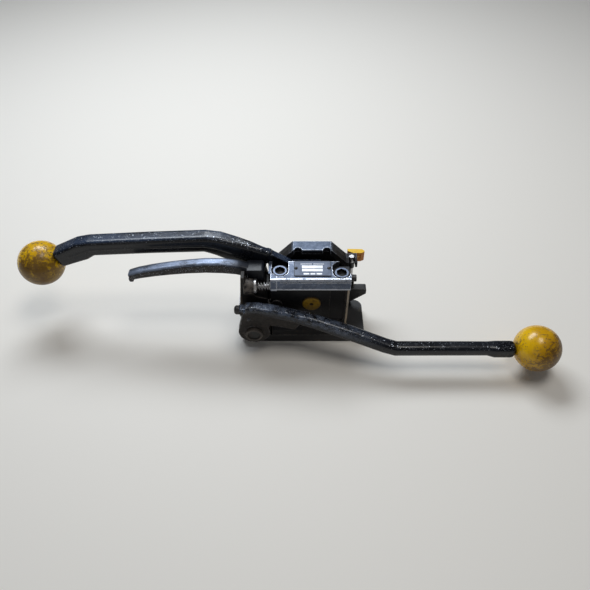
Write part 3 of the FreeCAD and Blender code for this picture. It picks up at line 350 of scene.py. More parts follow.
def tension_paint(name):
    """The lever's black, with grease and dust on the flat of its hub, and a painted blue-grey sheen,
    partly scuffed steel, along the top of its rim.
    """
    s = Shade(name)
    clouds = s.noise(40, 5, 0.62)
    fine = s.noise(620, 3, 0.6)
    grit = s.noise(330, 5, 0.75, shift=(1, 4, 2))
    rim_line = s.along("Z") + s.along("X").most(HUB_LEFT_X * MM) * HUB_RIM_LEAN
    rim = rim_line.band_mm(*HUB_RIM_Z)
    hub = (1.0 - s.past("X", *HUB_END_X)) * (1.0 - rim)
    top = s.up().band(0.0, 0.8)
    root = 1.0 - s.past("X", *TENSION_ROOT_X)
    chips = s.flecks(430, 0.12) * top
    sparkle = s.flecks(820, 0.20, shift=(2, 5, 1)) * s.up().band(0.05, 0.6) * (0.35 + root * 0.65)
    rub = s.edges(2.4, 0.012, 0.09) * s.noise(210, 5, 0.78).band(0.48, 0.62)
    lines = s.scratches(150, 0.03, (0.3, 0.1, 0.8)) * top
    worn = (chips.most(sparkle * 0.9).most(rub * (0.45 + root * 0.5)).most(lines * 0.7)
            * (1.0 - hub * 0.65)).clipped()
    rubs = s.noise(120, 6, 0.8, shift=(4, 4, 1)).band(0.40, 0.62)
    # Painted sheen, partly scuffed steel: upward faces of the hub's rim near the root turned blue-grey.
    scuffed = rim * root * rubs * s.up().band(-0.3, 0.5)
    base = s.mix(clouds.band(0.3, 0.75), *LEVER_BLACK)
    base = s.mix(scuffed * 0.75, base, rgb(0.13, 0.165, 0.24))
    soil = s.mix(grit.band(0.3, 0.7), *HUB_SOIL)
    light_edge = s.edges(1.5, 0.012, 0.09) * s.noise(200, 5, 0.75, shift=(6, 1, 3)).band(0.44, 0.6)
    soil = s.mix(light_edge * 0.7, soil, rgb(0.20, 0.165, 0.135))
    base = s.mix((hub * (0.75 + clouds * 0.3)).clipped(), base, soil)
    base = s.mix(worn * 0.9, base, rgb(0.56, 0.60, 0.68))
    s.set(Base_Color=base, Metallic=worn * 0.8 + scuffed * 0.2,
          Roughness=(0.22 + clouds.band(0.35, 0.8) * 0.14 + fine * 0.08 + hub * 0.32).clipped(),
          Specular_IOR_Level=0.3, Coat_Weight=((1.0 - hub) * 0.22).clipped(), Coat_Roughness=0.13)
    s.bump(fine * 0.25 + grit * hub * 0.8 + s.noise(150, 4, 0.6) * 0.8 - worn * 0.6, 0.5, 0.4)
    return s.material


def hood_steel(name):
    """Rear bridge: rubbed blue-grey top with bright corners, the slopes left dark, painted shade
    darkening its recessed front.
    """
    s = Shade(name)
    clouds = s.noise(60, 6, 0.65)
    lumps = s.noise(190, 5, 0.7)
    skin = s.noise(700, 4, 0.7)
    crown = s.past("Z", *HOOD_CROWN_Z)
    # Painted shade: the recessed front below the top plate is darkened, dulled and mostly kept free of
    # worn corners.
    recess_shade = (1.0 - s.past("Y", *HOOD_RECESS_Y)) * (1.0 - s.past("Z", *HOOD_RECESS_Z))
    edge = s.edges(1.7, 0.012, 0.09) * s.noise(280, 5, 0.72).band(0.34, 0.56)
    scratch = s.scratches(210, 0.05, (0.2, 0.4, 0.9))
    base = s.mix(clouds.band(0.3, 0.7), *HOOD_BLACK)
    base = s.mix(lumps.band(0.5, 0.72) * 0.5, base, rgb(0.030, 0.022, 0.017))
    steel = s.mix(lumps.band(0.3, 0.7), *HOOD_BLUE)
    base = s.mix(crown, base, steel)
    base = s.mix(recess_shade * 0.8, base, rgb(0.010, 0.008, 0.007))
    bare = ((edge * (0.35 + crown * 0.6)).most(scratch * crown * 0.6) * (1.0 - recess_shade * 0.8)).clipped()
    base = s.mix(bare, base, rgb(0.62, 0.66, 0.74))
    s.set(Base_Color=base, Metallic=(crown * 0.5 + bare * 0.4).clipped(), Specular_IOR_Level=0.3,
          Roughness=(0.50 - crown * 0.12 + clouds * 0.15 + recess_shade * 0.2 - bare * 0.08).clipped())
    s.bump(skin * 0.35 + lumps * 0.8 - bare * 0.4, 0.5, 0.3)
    return s.material


def cover_steel(name):
    """Top cover: blued steel rubbed grey, bright ledge and corners, painted black shade in the screw
    pockets.
    """
    s = Shade(name)
    clouds = s.noise(60, 6, 0.65)
    lumps = s.noise(260, 6, 0.8)
    fine = s.noise(900, 3, 0.65)
    # Painted shade: faces below the top and behind the front face, the screw pockets among them, made
    # near black, dull and not metallic.
    pocket_shade = (1.0 - s.past("Z", *POCKET_Z)) * s.past("Y", *POCKET_Y)
    face = 1.0 - s.past("Y", *COVER_FACE_Y)
    # Painted shadow: a near-black line along the front face just under the overhanging ledge.
    groove_shadow = (face * s.past("Z", *GROOVE_FOOT_Z) * (1.0 - s.past("Z", *GROOVE_TOP_Z))
              * s.past("X", *GROOVE_X))
    ragged = s.along("Z") + (lumps - 0.5) * (COVER_FOOT_RAGGED * MM)
    low_edge = face * (1.0 - ragged.band_mm(*COVER_FOOT_Z))
    ledge = (1.0 - s.past("Y", *LEDGE_Y)) * s.past("Z", *LEDGE_Z)
    edge = s.edges(1.3, 0.01, 0.08) * s.noise(330, 5, 0.75).band(0.30, 0.5)
    scratch = s.scratches(230, 0.05, (0.2, 0.4, 0.9)).most(
        s.scratches(200, 0.04, (0.1, 0.9, -0.5), (4, 1, 2)))
    rub = s.noise(150, 6, 0.8, shift=(2, 3, 5)).band(0.52, 0.68)
    edge = edge * s.past("X", *COVER_LEFT_X)
    bare = (edge.most(scratch * 0.6).most(rub * 0.25).most(low_edge * 0.85)
            .most(ledge * lumps.band(0.34, 0.5) * 0.9)).clipped() * (1.0 - pocket_shade)
    base = s.mix(clouds.band(0.3, 0.75), *COVER_BLUE)
    dull = s.noise(95, 5, 0.7, shift=(3, 6, 1)).band(0.52, 0.72)
    base = s.mix(dull * 0.5, base, rgb(0.050, 0.052, 0.062))
    base = s.mix(bare, base, rgb(0.68, 0.71, 0.78))
    base = s.mix((pocket_shade * 0.93).most(groove_shadow * 0.95), base, rgb(0.008, 0.008, 0.010))
    s.set(Base_Color=base, Metallic=((0.5 + bare * 0.42) * (1.0 - pocket_shade)).clipped(),
          Roughness=(0.36 + clouds.band(0.3, 0.8) * 0.14 - bare * 0.08 + pocket_shade * 0.25).clipped())
    s.bump(fine * 0.3 + lumps * 0.6 - bare * 0.4, 0.45, 0.22)
    return s.material


def head_casting(name):
    """Head casting: near-black oiled face, tan wear down its right corner, dust at its foot."""
    s = Shade(name)
    clouds = s.noise(38, 6, 0.65)
    skin = s.noise(700, 4, 0.7)
    lumps = s.noise(170, 4, 0.6)
    edge = s.edges(1.5, 0.015, 0.10) * s.noise(260, 5, 0.7).band(0.42, 0.64)
    rubs = s.noise(140, 5, 0.75, (1, 1, 0.35), (1, 2, 3)).band(0.30, 0.48)
    corner = (s.past("X", *HEAD_CORNER_X) * rubs * s.past("Z", *HEAD_CORNER_Z)
              * (1.0 - s.past("Y", *HEAD_FRONT_Y)))
    low_down = 1.0 - s.past("Z", *HEAD_DUST_Z)
    dust = ((clouds * 0.6 + lumps * 0.4).band(0.50, 0.68) * (0.3 + low_down * 0.4)).clipped()
    base = s.mix(clouds.band(0.3, 0.7), *HEAD_BLACK)
    base = s.mix(dust, base, rgb(0.026, 0.021, 0.016))
    base = s.mix(edge * 0.45, base, rgb(0.24, 0.21, 0.18))
    base = s.mix(corner * 0.9, base, rgb(0.40, 0.32, 0.23))
    s.set(Base_Color=base, Metallic=edge * 0.3, Specular_IOR_Level=0.25,
          Roughness=(0.42 + dust * 0.35 + clouds.band(0.3, 0.8) * 0.12).clipped())
    s.bump(skin * 0.45 + lumps * 0.8 - edge * 0.3, 0.5, 0.3)
    return s.material


def ball_gloss(name, shift, grime_and_shade, axis):
    """Yellow moulded ball, handled smooth, with dirt worked into the side that faces along axis, and
    painted shade darkening that side.
    """
    s = Shade(name)
    clouds = s.noise(30, 5, 0.65, shift=shift, twist=0.6)
    smear = s.noise(95, 6, 0.78, (1, 1, 1.5), shift, 0.4)
    specks = s.noise(330, 5, 0.82, shift=shift)
    turned_to = s.add("ShaderNodeVectorMath", {"operation": "DOT_PRODUCT"},
                      {0: s.facing["Normal"], 1: axis})["Value"]
    # The side facing along axis, away from the light, gets partly dirt and partly painted shade: darker
    # brown film, more flecks and streaks.
    side = (turned_to * 0.5 + clouds * 0.6).band(0.15, 0.80)
    level = 0.585 - grime_and_shade * 0.055
    mottle = (smear * 0.5 + specks * 0.5 + side * 0.13).band(level - 0.02, level + 0.03)
    fleck = specks.band(0.60, 0.64) * (0.45 + side * 0.55)
    dirt = mottle.most(fleck).clipped()
    film_and_shade = (side * (0.35 + grime_and_shade * 0.4) * clouds.band(0.25, 0.5)).clipped()
    streak = (s.noise(150, 6, 0.8, (0.5, 1, 2.6), (shift[1], 2, shift[0])).band(0.57, 0.62)
              * (0.15 + side * 0.85)).clipped()
    base = s.mix(clouds.band(0.3, 0.7), *BALL_YELLOW)
    base = s.mix(film_and_shade, base, rgb(0.22, 0.105, 0.003))
    base = s.mix(dirt * 0.75, base, rgb(0.075, 0.032, 0.003))
    base = s.mix(streak * 0.85, base, rgb(0.018, 0.010, 0.003))
    s.set(Base_Color=base, Roughness=(0.22 + dirt * 0.25 + specks * 0.08).clipped(),
          Specular_IOR_Level=0.4, Coat_Weight=0.25, Coat_Roughness=0.12)
    s.bump(specks * 0.3 + dirt * 0.5 + smear * 0.3, 0.3, 0.3)
    return s.material


def dirty_casting(name, tone, dust_amount, seed):
    """Satin black over cast steel, brown dust in patches, rubbed corners."""
    s = Shade(name)
    shift = (seed, -seed, seed * 0.3)
    clouds = s.noise(45, 6, 0.65, shift=shift)
    skin = s.noise(700, 4, 0.7, shift=shift)
    lumps = s.noise(170, 4, 0.6, shift=shift)
    edge = s.edges(1.5, 0.015, 0.11) * s.noise(260, 5, 0.7, shift=shift).band(0.40, 0.62)
    dust = ((clouds * 0.6 + lumps * 0.4).band(0.52 - dust_amount, 0.68 - dust_amount)
            * 0.75).clipped()
    dark = rgb(0.022 * tone, 0.022 * tone, 0.025 * tone)
    light = rgb(0.055 * tone, 0.056 * tone, 0.062 * tone)
    base = s.mix(clouds.band(0.3, 0.7), dark, light)
    base = s.mix(dust, base, rgb(0.095, 0.078, 0.060))
    base = s.mix(edge * 0.75, base, rgb(0.33, 0.31, 0.29))
    s.set(Base_Color=base, Metallic=edge * 0.6,
          Roughness=(0.46 + dust * 0.3 + clouds.band(0.3, 0.8) * 0.12 - edge * 0.08).clipped())
    s.bump(skin * 0.45 + lumps * 0.8 - edge * 0.3, 0.5, 0.3)
    return s.material


def oxide_screw(name):
    """Black oxide screws with rubbed rims."""
    s = Shade(name)
    clouds = s.noise(160, 4, 0.6)
    edge = s.edges(0.9, 0.01, 0.10) * s.noise(500, 4, 0.7).band(0.30, 0.55)
    base = s.mix(clouds.band(0.35, 0.7), *OXIDE_BLACK)
    base = s.mix(edge * 0.85, base, rgb(0.46, 0.45, 0.44))
    s.set(Base_Color=base, Metallic=(0.5 + edge * 0.45).clipped(),
          Roughness=(0.36 + clouds * 0.2 - edge * 0.1).clipped())
    s.bump(s.noise(1300, 3, 0.6), 0.3, 0.12)
    return s.material


def ground_steel(name, tone, rough, grain_axis):
    """Ground or turned steel with fine lines, thin oil stains and dull patches."""
    s = Shade(name)
    stretch = [0.8 if axis == grain_axis else 14.0 for axis in range(3)]
    lines = s.noise(420, 3, 0.6, stretch)
    stain = s.noise(140, 5, 0.7).band(0.5, 0.72)
    base = s.mix(lines.band(0.3, 0.7), rgb(0.40 * tone, 0.40 * tone, 0.41 * tone),
                 rgb(0.66 * tone, 0.66 * tone, 0.67 * tone))
    base = s.mix(stain * 0.55, base, rgb(0.12, 0.095, 0.07))
    s.set(Base_Color=base, Metallic=0.92,
          Roughness=(rough + lines * 0.16 + stain * 0.2).clipped())
    s.bump(lines, 0.25, 0.08)
    return s.material


def bronze(name):
    """Bush bronze, browned in patches."""
    s = Shade(name)
    clouds = s.noise(220, 5, 0.65)
    base = s.mix(clouds.band(0.35, 0.7), *BUSH_BRONZE)
    s.set(Base_Color=base, Metallic=0.9, Roughness=(0.32 + clouds * 0.2).clipped())
    s.bump(s.noise(1200, 3, 0.6), 0.25, 0.08)
    return s.material


def plug_enamel(name):
    """Ochre enamel of the access plug, greasy, with a dark dimple in its middle."""
    s = Shade(name)
    clouds = s.noise(120, 5, 0.7)
    soil = s.noise(330, 6, 0.8).band(0.46, 0.62)
    reach = s.radial("X", "Z", middle("access_plug", 0, 2))
    dimple = 1.0 - reach.band_mm(1.9, 2.4)
    rim = reach.band_mm(8.8, 10.0)
    base = s.mix(clouds.band(0.3, 0.7), *PLUG_OCHRE)
    base = s.mix(soil * 0.6, base, rgb(0.10, 0.055, 0.012))
    base = s.mix((dimple * 0.9).most(rim * 0.7), base, rgb(0.020, 0.013, 0.007))
    s.set(Base_Color=base, Roughness=(0.42 + soil * 0.25).clipped(), Specular_IOR_Level=0.3)
    s.bump(s.noise(800, 3, 0.6) * 0.4 + soil * 0.5, 0.35, 0.15)
    return s.material


def thumb_enamel(name):
    """Thumb lever: bright yellow, painted shade turning its sides orange, black round its hub."""
    s = Shade(name)
    clouds = s.noise(160, 5, 0.65)
    soil = s.noise(300, 6, 0.75).band(0.54, 0.68)
    hub = 1.0 - s.past("Y", *THUMB_HUB_Y)
    base = s.mix(clouds.band(0.3, 0.75), *THUMB_YELLOW)
    # Painted shade: faces that do not look up turned darker orange.
    base = s.mix(1.0 - s.up().band(0.2, 0.7), base, rgb(0.62, 0.20, 0.002))
    base = s.mix(soil * 0.45, base, rgb(0.16, 0.070, 0.006))
    base = s.mix(hub, base, rgb(0.010, 0.009, 0.009))
    s.set(Base_Color=base, Roughness=(0.32 + soil * 0.2 + clouds * 0.1).clipped())
    s.bump(s.noise(800, 3, 0.6) * 0.4 + soil * 0.5, 0.35, 0.15)
    return s.material


def cover_screw_steel(name):
    """Cover screws: oiled black oxide with a narrow bright rim round each head."""
    s = Shade(name)
    clouds = s.noise(240, 5, 0.65)
    low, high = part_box("cover_screws")
    head = (high[1] - low[1] - COVER_SCREWS_OFFSET_Y * MM) / 2
    left = s.radial("X", "Y", (low[0] + head, high[1] - head))
    right = s.radial("X", "Y", (high[0] - head, low[1] + head))
    reach = left.least(right)
    rim = reach.band_mm(5.2, 5.6) * (1.0 - reach.band_mm(7.1, 7.5)) * s.up().band(0.2, 0.8)
    base = s.mix(clouds.band(0.35, 0.7), *OILED_OXIDE)
    base = s.mix(rim * (0.55 + clouds * 0.5), base, rgb(0.15, 0.18, 0.25))
    s.set(Base_Color=base, Metallic=rim * 0.7, Specular_IOR_Level=0.3,
          Roughness=(0.48 - rim * 0.15 + clouds * 0.1).clipped())
    s.bump(s.noise(1300, 3, 0.6), 0.3, 0.12)
    return s.material


def plate_print(name, light, dark, wear):
    """Printed plate: thin even coat, scuffed in places, a dark line along its border."""
    s = Shade(name)
    clouds = s.noise(150, 5, 0.65)
    scuff = s.noise(420, 6, 0.8).band(0.60 - wear, 0.70 - wear)
    lines = s.scratches(300, wear * 0.5, (0.1, 0.2, 0.6))
    low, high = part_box("name_plate")
    x = s.along("X")
    y = s.along("Y")
    margin = (x - low[0]).least(high[0] - x).least((y - low[1]).least(high[1] - y))
    border = 1.0 - margin.band_mm(0.6, 1.0)
    base = s.mix(clouds.band(0.3, 0.7), light, dark)
    base = s.mix((scuff * 0.5).most(lines * 0.6), base, rgb(0.10, 0.11, 0.13))
    base = s.mix(border * 0.85, base, rgb(0.020, 0.022, 0.030))
    s.set(Base_Color=base, Metallic=0.25, Roughness=(0.34 + clouds * 0.15 + scuff * 0.1).clipped())
    s.bump(clouds * 0.4 + scuff * 0.3, 0.3, 0.08)
    return s.material


def rocker_steel(name):
    """Rocker: oily black casting, its left flange rubbed tan, dust on the spring seat's boss."""
    s = Shade(name)
    clouds = s.noise(45, 5, 0.65)
    skin = s.noise(650, 4, 0.7)
    lumps = s.noise(200, 5, 0.7)
    reach = s.radial("Y", "Z", middle("spring_seat", 1, 2))
    boss = (1.0 - reach.band_mm(9.2, 9.8)) * s.past("X", *SEAT_BOSS_X) * s.past("Y", *SEAT_BOSS_Y)
    edge = s.edges(1.6, 0.012, 0.09) * s.noise(240, 5, 0.72).band(0.38, 0.58)
    rubs = s.noise(120, 5, 0.75, (1, 1, 0.4), (3, 1, 1)).band(0.36, 0.56)
    flange = (1.0 - s.past("X", *ROCKER_FLANGE_X)) * rubs
    dust = lumps.band(0.50, 0.68) * 0.6
    base = s.mix(clouds.band(0.3, 0.7), *ROCKER_BLACK)
    base = s.mix(dust, base, rgb(0.034, 0.026, 0.020))
    base = s.mix(flange * 0.7, base, rgb(0.17, 0.125, 0.085))
    base = s.mix(boss * lumps.band(0.40, 0.62) * 0.85, base, rgb(0.13, 0.112, 0.098))
    base = s.mix(edge * 0.6, base, rgb(0.30, 0.27, 0.24))
    s.set(Base_Color=base, Metallic=edge * 0.4, Specular_IOR_Level=0.3,
          Roughness=(0.45 + dust * 0.3 + clouds * 0.1).clipped())
    s.bump(skin * 0.45 + lumps * 0.8 - edge * 0.3, 0.5, 0.3)
    return s.material


MATERIALS = {
    "black_paint": lever_paint("lever_black"),
    "tension_paint": tension_paint("tension_black"),
    "hub_soil": soiled_hub("hub_greased"),
    "yellow_knob": ball_gloss("ball_yellow_bright", shift=(1.3, 0.4, 2.2), grime_and_shade=0.65,
                              axis=(0.72, -0.50, -0.45)),
    "yellow_knob_left": ball_gloss("ball_yellow_ochre", shift=(5.1, 3.3, 0.7), grime_and_shade=1.1,
                                   axis=(0.12, -0.92, -0.38)),
    "blued_steel": cover_steel("blued_cover"),
    "hood_steel": hood_steel("hood_blued"),
    "release_steel": release_paint("release_wear_and_sheen"),
    "bridge_steel": dirty_casting("stop_casting", tone=0.45, dust_amount=0.0, seed=2.0),
    "black_casting": head_casting("head_casting"),
    "rocker_casting": rocker_steel("rocker_casting"),
    "cover_screw_steel": cover_screw_steel("cover_screw_steel"),
    "base_casting": dirty_casting("base_casting", tone=0.28, dust_amount=-0.04, seed=6.0),
    "soiled_steel": ground_steel("soiled_steel", tone=0.10, rough=0.50, grain_axis=1),
    "black_screws": oxide_screw("oxide_screws"),
    "bright_steel": ground_steel("ground_steel", tone=1.0, rough=0.22, grain_axis=2),
    "tool_steel": ground_steel("tool_steel", tone=0.62, rough=0.30, grain_axis=1),
    "spring_steel": ground_steel("spring_wire", tone=0.8, rough=0.26, grain_axis=0),
    "bronze": bronze("bush_bronze"),
    "plug_yellow": plug_enamel("plug_enamel"),
    "thumb_yellow": thumb_enamel("thumb_enamel"),
    "plate_grey": plate_print("plate_blue_grey", rgb(0.095, 0.120, 0.180), rgb(0.060, 0.078, 0.120),
                              wear=0.03),
    "plate_white": plate_print("plate_white_fields", rgb(0.80, 0.82, 0.86), rgb(0.66, 0.68, 0.73),
                               wear=0.01),
}


# ---------------------------------------------------------------- mesh helpers

WELD = 0.002 * MM
SLIVER = 0.001 * MM
FLAT_ANGLE = math.radians(0.4)
CORNER_ANGLE = math.radians(28)
LONG_EDGE_ANGLE = math.radians(50)
SMOOTHING_PASSES = 3
KNOB_R = 25.0
KNOB_FLAT = 1.0
WIRE_SIDES = 12
STEPS_PER_TURN = 28
CLOSED_TURNS = 0.85
PRINT_THICKNESS = 0.12


def cad_copy(node):
    """A CAD node's own shape, its loose triangles joined up and its flats made whole."""
    bm = bmesh.new()
    bm.from_mesh(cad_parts[node].data)
    bmesh.ops.remove_doubles(bm, verts=bm.verts, dist=WELD)
    bmesh.ops.dissolve_degenerate(bm, edges=bm.edges, dist=SLIVER)
    bmesh.ops.dissolve_limit(bm, angle_limit=FLAT_ANGLE, verts=bm.verts, edges=bm.edges)
    return bm


def finish_piece(bm, name, body, material, replaces=(), bevel=0.0, segments=2,
                 smooth_angle=32.0):
    """Turns a bmesh into a named piece with its finish, riding on its body; bevel in mm."""
    mesh = bpy.data.meshes.new(name)
    bm.to_mesh(mesh)
    bm.free()
    piece = bpy.data.objects.new(name, mesh)
    bpy.context.scene.collection.objects.link(piece)
    mesh.materials.append(MATERIALS[material])
    for face in mesh.polygons:
        face.use_smooth = True
    mesh.set_sharp_from_angle(angle=math.radians(smooth_angle))
    if bevel:
        rounding = piece.modifiers.new("edge_rounding", "BEVEL")
        rounding.width = bevel * MM
        rounding.segments = segments
        rounding.limit_method = "ANGLE"
        rounding.angle_limit = CORNER_ANGLE
        rounding.miter_outer = "MITER_ARC"
        rounding.harden_normals = True
        rounding.use_clamp_overlap = True
    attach(piece, body)
    if replaces:
        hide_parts(*replaces)


def machined(node, body, material, slot, bevel=0.35, segments=2):
    """A CAD node with its corners broken and its own finish."""
    finish_piece(cad_copy(node), node + "_piece", body, material, (node,), bevel, segments)


def blended(bm, name, voxel):
    """Runs several closed forms into one with soft corners, on a grid of voxel mm."""
    mesh = bpy.data.meshes.new(name)
    bm.to_mesh(mesh)
    bm.free()
    draft = bpy.data.objects.new(name, mesh)
    bpy.context.scene.collection.objects.link(draft)
    remesh = draft.modifiers.new("skin", "REMESH")
    remesh.mode = "VOXEL"
    remesh.voxel_size = voxel * MM
    soften = draft.modifiers.new("soften", "SMOOTH")
    soften.factor = 0.5
    soften.iterations = SMOOTHING_PASSES
    shape = bpy.data.meshes.new_from_object(
        draft.evaluated_get(bpy.context.evaluated_depsgraph_get()))
    result = bmesh.new()
    result.from_mesh(shape)
    bpy.data.objects.remove(draft)
    bpy.data.meshes.remove(mesh)
    bpy.data.meshes.remove(shape)
    return result


def forging(bm, name, body, material, node, voxel=0.75, smooth_angle=75):
    """Several forms blended into one forged or cast piece that replaces a CAD node."""
    finish_piece(blended(bm, name, voxel), name, body, material, (node,),
                 smooth_angle=smooth_angle)


def add_bmesh(target, extra):
    """Moves one bmesh's faces into another."""
    spare = bpy.data.meshes.new("spare")
    extra.to_mesh(spare)
    extra.free()
    target.from_mesh(spare)
    bpy.data.meshes.remove(spare)


def section_matrix(centre, ahead, width, height):
    """Places a 1 m square, lying in XY, across a bar's centre line with its width along Y."""
    forward = ahead.normalized()
    side = (Y_AXIS - forward * Y_AXIS.dot(forward)).normalized()
    up = forward.cross(side).normalized()
    turn = Matrix((side, up, forward)).transposed().to_4x4()
    return Matrix.Translation(centre) @ turn @ Matrix.Diagonal((width, height, 1, 1))


def forged_bar(stations, rounding, segments=3):
    """Bar through (x, y, z, width, height) stations in mm, its four long edges rounded."""
    centres = [mm(*station[:3]) for station in stations]
    frames = []
    for index, station in enumerate(stations):
        ahead = Vector()
        if index + 1 < len(stations):
            ahead += (centres[index + 1] - centres[index]).normalized()
        if index:
            ahead += (centres[index] - centres[index - 1]).normalized()
        frames.append(section_matrix(centres[index], ahead, station[3] * MM, station[4] * MM))
    bm = bmesh.new()
    bmesh.ops.create_grid(bm, x_segments=1, y_segments=1, size=0.5, matrix=frames[0])
    end = bm.faces[:]
    for before, after in zip(frames, frames[1:]):
        grown = bmesh.ops.extrude_face_region(bm, geom=end, use_keep_orig=before is frames[0])
        corners = [item for item in grown["geom"] if isinstance(item, bmesh.types.BMVert)]
        end = [item for item in grown["geom"] if isinstance(item, bmesh.types.BMFace)]
        bmesh.ops.transform(bm, matrix=after @ before.inverted(), verts=corners)
    bmesh.ops.recalc_face_normals(bm, faces=bm.faces)
    long_edges = [edge for edge in bm.edges
                  if edge.is_manifold and edge.calc_face_angle(0) > LONG_EDGE_ANGLE]
    bmesh.ops.bevel(bm, geom=long_edges, offset=rounding * MM, offset_type="OFFSET",
                    segments=segments, profile=0.5, affect="EDGES", clamp_overlap=True, material=-1)
    return bm


def kept_side(bm, point, normal):
    """Cuts the form at a plane and keeps what lies behind it, closed again."""
    bmesh.ops.bisect_plane(bm, geom=bm.verts[:] + bm.edges[:] + bm.faces[:], plane_co=point,
                           plane_no=normal, clear_outer=True, dist=SLIVER)
    rim = [edge for edge in bm.edges if edge.is_boundary]
    if rim:
        bmesh.ops.holes_fill(bm, edges=rim, sides=400)
    bmesh.ops.recalc_face_normals(bm, faces=bm.faces)
    return bm


def stood_along(axis, place):
    """Turns a form that stands along Z to another axis and moves it to its place."""
    return Matrix.Translation(place) @ Z_AXIS.rotation_difference(axis).to_matrix().to_4x4()


def ball_knob(name, centre, towards_lever, body, material):
    """Ball with the small flat where the lever's shoulder meets it."""
    bm = bmesh.new()
    bmesh.ops.create_uvsphere(bm, u_segments=72, v_segments=36, radius=KNOB_R * MM)
    axis = towards_lever.normalized()
    bmesh.ops.transform(bm, matrix=stood_along(axis, centre), verts=bm.verts)
    kept_side(bm, centre + axis * (KNOB_R - KNOB_FLAT) * MM, axis)
    finish_piece(bm, name, body, material, (name.replace("_ball", "_knob"),), 0.5, 3)


def coil_spring(start, axis, radius, wire, length, turns):
    """Round wire wound about an axis, its first and last turns lying close."""
    bm = bmesh.new()
    made = bmesh.ops.create_circle(bm, cap_ends=True, segments=WIRE_SIDES, radius=wire / 2 * MM)
    stand = Matrix.Translation(mm(radius, 0, wire / 2)) @ Matrix.Rotation(math.radians(90), 4, "X")
    bmesh.ops.transform(bm, matrix=stand, verts=made["verts"])
    open_turns = turns - 2 * CLOSED_TURNS
    pitch = (length - wire - 2 * CLOSED_TURNS * wire) / open_turns
    faces = bm.faces[:]
    for share, rise in ((CLOSED_TURNS, wire), (open_turns, pitch), (CLOSED_TURNS, wire)):
        count = round(share * STEPS_PER_TURN)
        grown = bmesh.ops.spin(bm, geom=faces, cent=(0, 0, 0), axis=(0, 0, 1), angle=math.tau * share,
                               dvec=(0, 0, rise * share / count * MM), steps=count, use_duplicate=False)
        faces = [item for item in grown["geom_last"] if isinstance(item, bmesh.types.BMFace)]
    bmesh.ops.recalc_face_normals(bm, faces=bm.faces)
    bmesh.ops.transform(bm, matrix=stood_along(axis, start), verts=bm.verts)
    return bm


def springs(name, node, starts, axis, **coil):
    """One piece for all the springs of a node, from the points in mm where they start."""
    wound = bmesh.new()
    for start in starts:
        add_bmesh(wound, coil_spring(mm(*start), axis, **coil))
    finish_piece(wound, name, "frame", "spring_steel", (node,), smooth_angle=70)


# ---------------------------------------------------------------- levers

# Stations of the bars in mm: x, y, z, width, height.
SEALING_BAR = (
    (-38, 5.1, 96.5, 9.0, 28.0), (-48, 5.7, 99.5, 10.2, 29.5), (-60, 9.0, 102.0, 13.0, 30.0),
    (-75, 13.0, 105.5, 15.5, 27.5), (-92, 16.2, 110.6, 17.0, 24.5),
    (-106, 17, 113.4, 17.5, 21.0), (-165, 17, 111.0, 17.5, 20.4), (-229, 17, 107.3, 17.5, 20.3),
    (-240, 17, 103.0, 17.5, 24.5), (-255, 17, 96.6, 18.0, 22.5), (-270.7, 17, 89.7, 18.5, 20.5),
)
RELEASE_BAR = (
    (-58, -8, 94.0, 12, 13.0), (-71, -8, 98.2, 12, 13.5), (-86, -8, 100.4, 12, 14.5),
    (-104, -8, 100.8, 12, 14.0), (-124, -8, 99.2, 12, 12.8), (-143, -8, 96.7, 12, 11.8),
    (-160, -8, 93.8, 12, 11.0), (-176, -8, 90.2, 11.6, 10.2), (-188, -8, 86.2, 11, 9.4),
)
TENSION_BAR = (
    (-62, -39.8, 68.2, 12.4, 8.0), (-50, -39.8, 68.4, 12.4, 8.5), (-38, -39.8, 65.8, 12.4, 9.0),
    (-24, -39.8, 61.6, 12.4, 9.5), (-8, -39.9, 54.8, 12.6, 12.0), (5, -41.0, 51.0, 13.5, 14.5),
    (50, -53.4, 43.2, 14.0, 15.5), (88, -64.4, 35.0, 14.0, 15.0), (100, -67, 33.0, 14.0, 15.0),
    (199, -67, 33.0, 13.6, 14.6), (207, -67.5, 32.4, 15.4, 16.8),
    (228.8, -67.5, 32.4, 15.4, 16.8),
)


def parting_line(stations, proud=0.9, height=1.5):
    """Thin flash line along both sides of a forged bar."""
    strip = [(x, y, z, width + proud, height) for x, y, z, width, _ in stations]
    return forged_bar(strip, rounding=0.2, segments=1)


SEALING_EYE_END = mm(-38, 0, 0)
TENSION_HUB_END = mm(9, 0, 0)
RELEASE_ROOT_END = mm(-60, 0, 0)
RELEASE_TIP = ((-186, -8, 86, 10.4, 5.6), (-186.2, -8, 79.6, 10.0, 5.0))
SEALING_KNOB = mm(-292.5, 17, 80)
SEALING_SHANK = mm(-255, 17, 96.6)
TENSION_KNOB = mm(252.6, -67, 33.4)

sealing_form = kept_side(cad_copy("sealing_lever"), SEALING_EYE_END, -X_AXIS)
add_bmesh(sealing_form, forged_bar(SEALING_BAR, rounding=4.2, segments=4))
add_bmesh(sealing_form, parting_line(SEALING_BAR[3:10]))
forging(sealing_form, "sealing_lever_forging", "sealing_lever", "black_paint",
        "sealing_lever")

tension_form = kept_side(cad_copy("tension_lever"), TENSION_HUB_END, X_AXIS)
add_bmesh(tension_form, forged_bar(TENSION_BAR[:6], rounding=3.6, segments=4))
add_bmesh(tension_form, forged_bar(TENSION_BAR[4:], rounding=5.0, segments=4))
add_bmesh(tension_form, parting_line(TENSION_BAR[5:10], proud=0.7, height=1.4))
forging(tension_form, "tension_lever_forging", "tension_lever", "tension_paint",
        "tension_lever")

release_form = kept_side(cad_copy("rocker_lever"), RELEASE_ROOT_END, -X_AXIS)
add_bmesh(release_form, forged_bar(RELEASE_BAR, rounding=3.0))
add_bmesh(release_form, forged_bar(RELEASE_TIP, rounding=1.6))
forging(release_form, "release_lever_forging", "rocker", "release_steel",
        "rocker_lever", voxel=0.5)

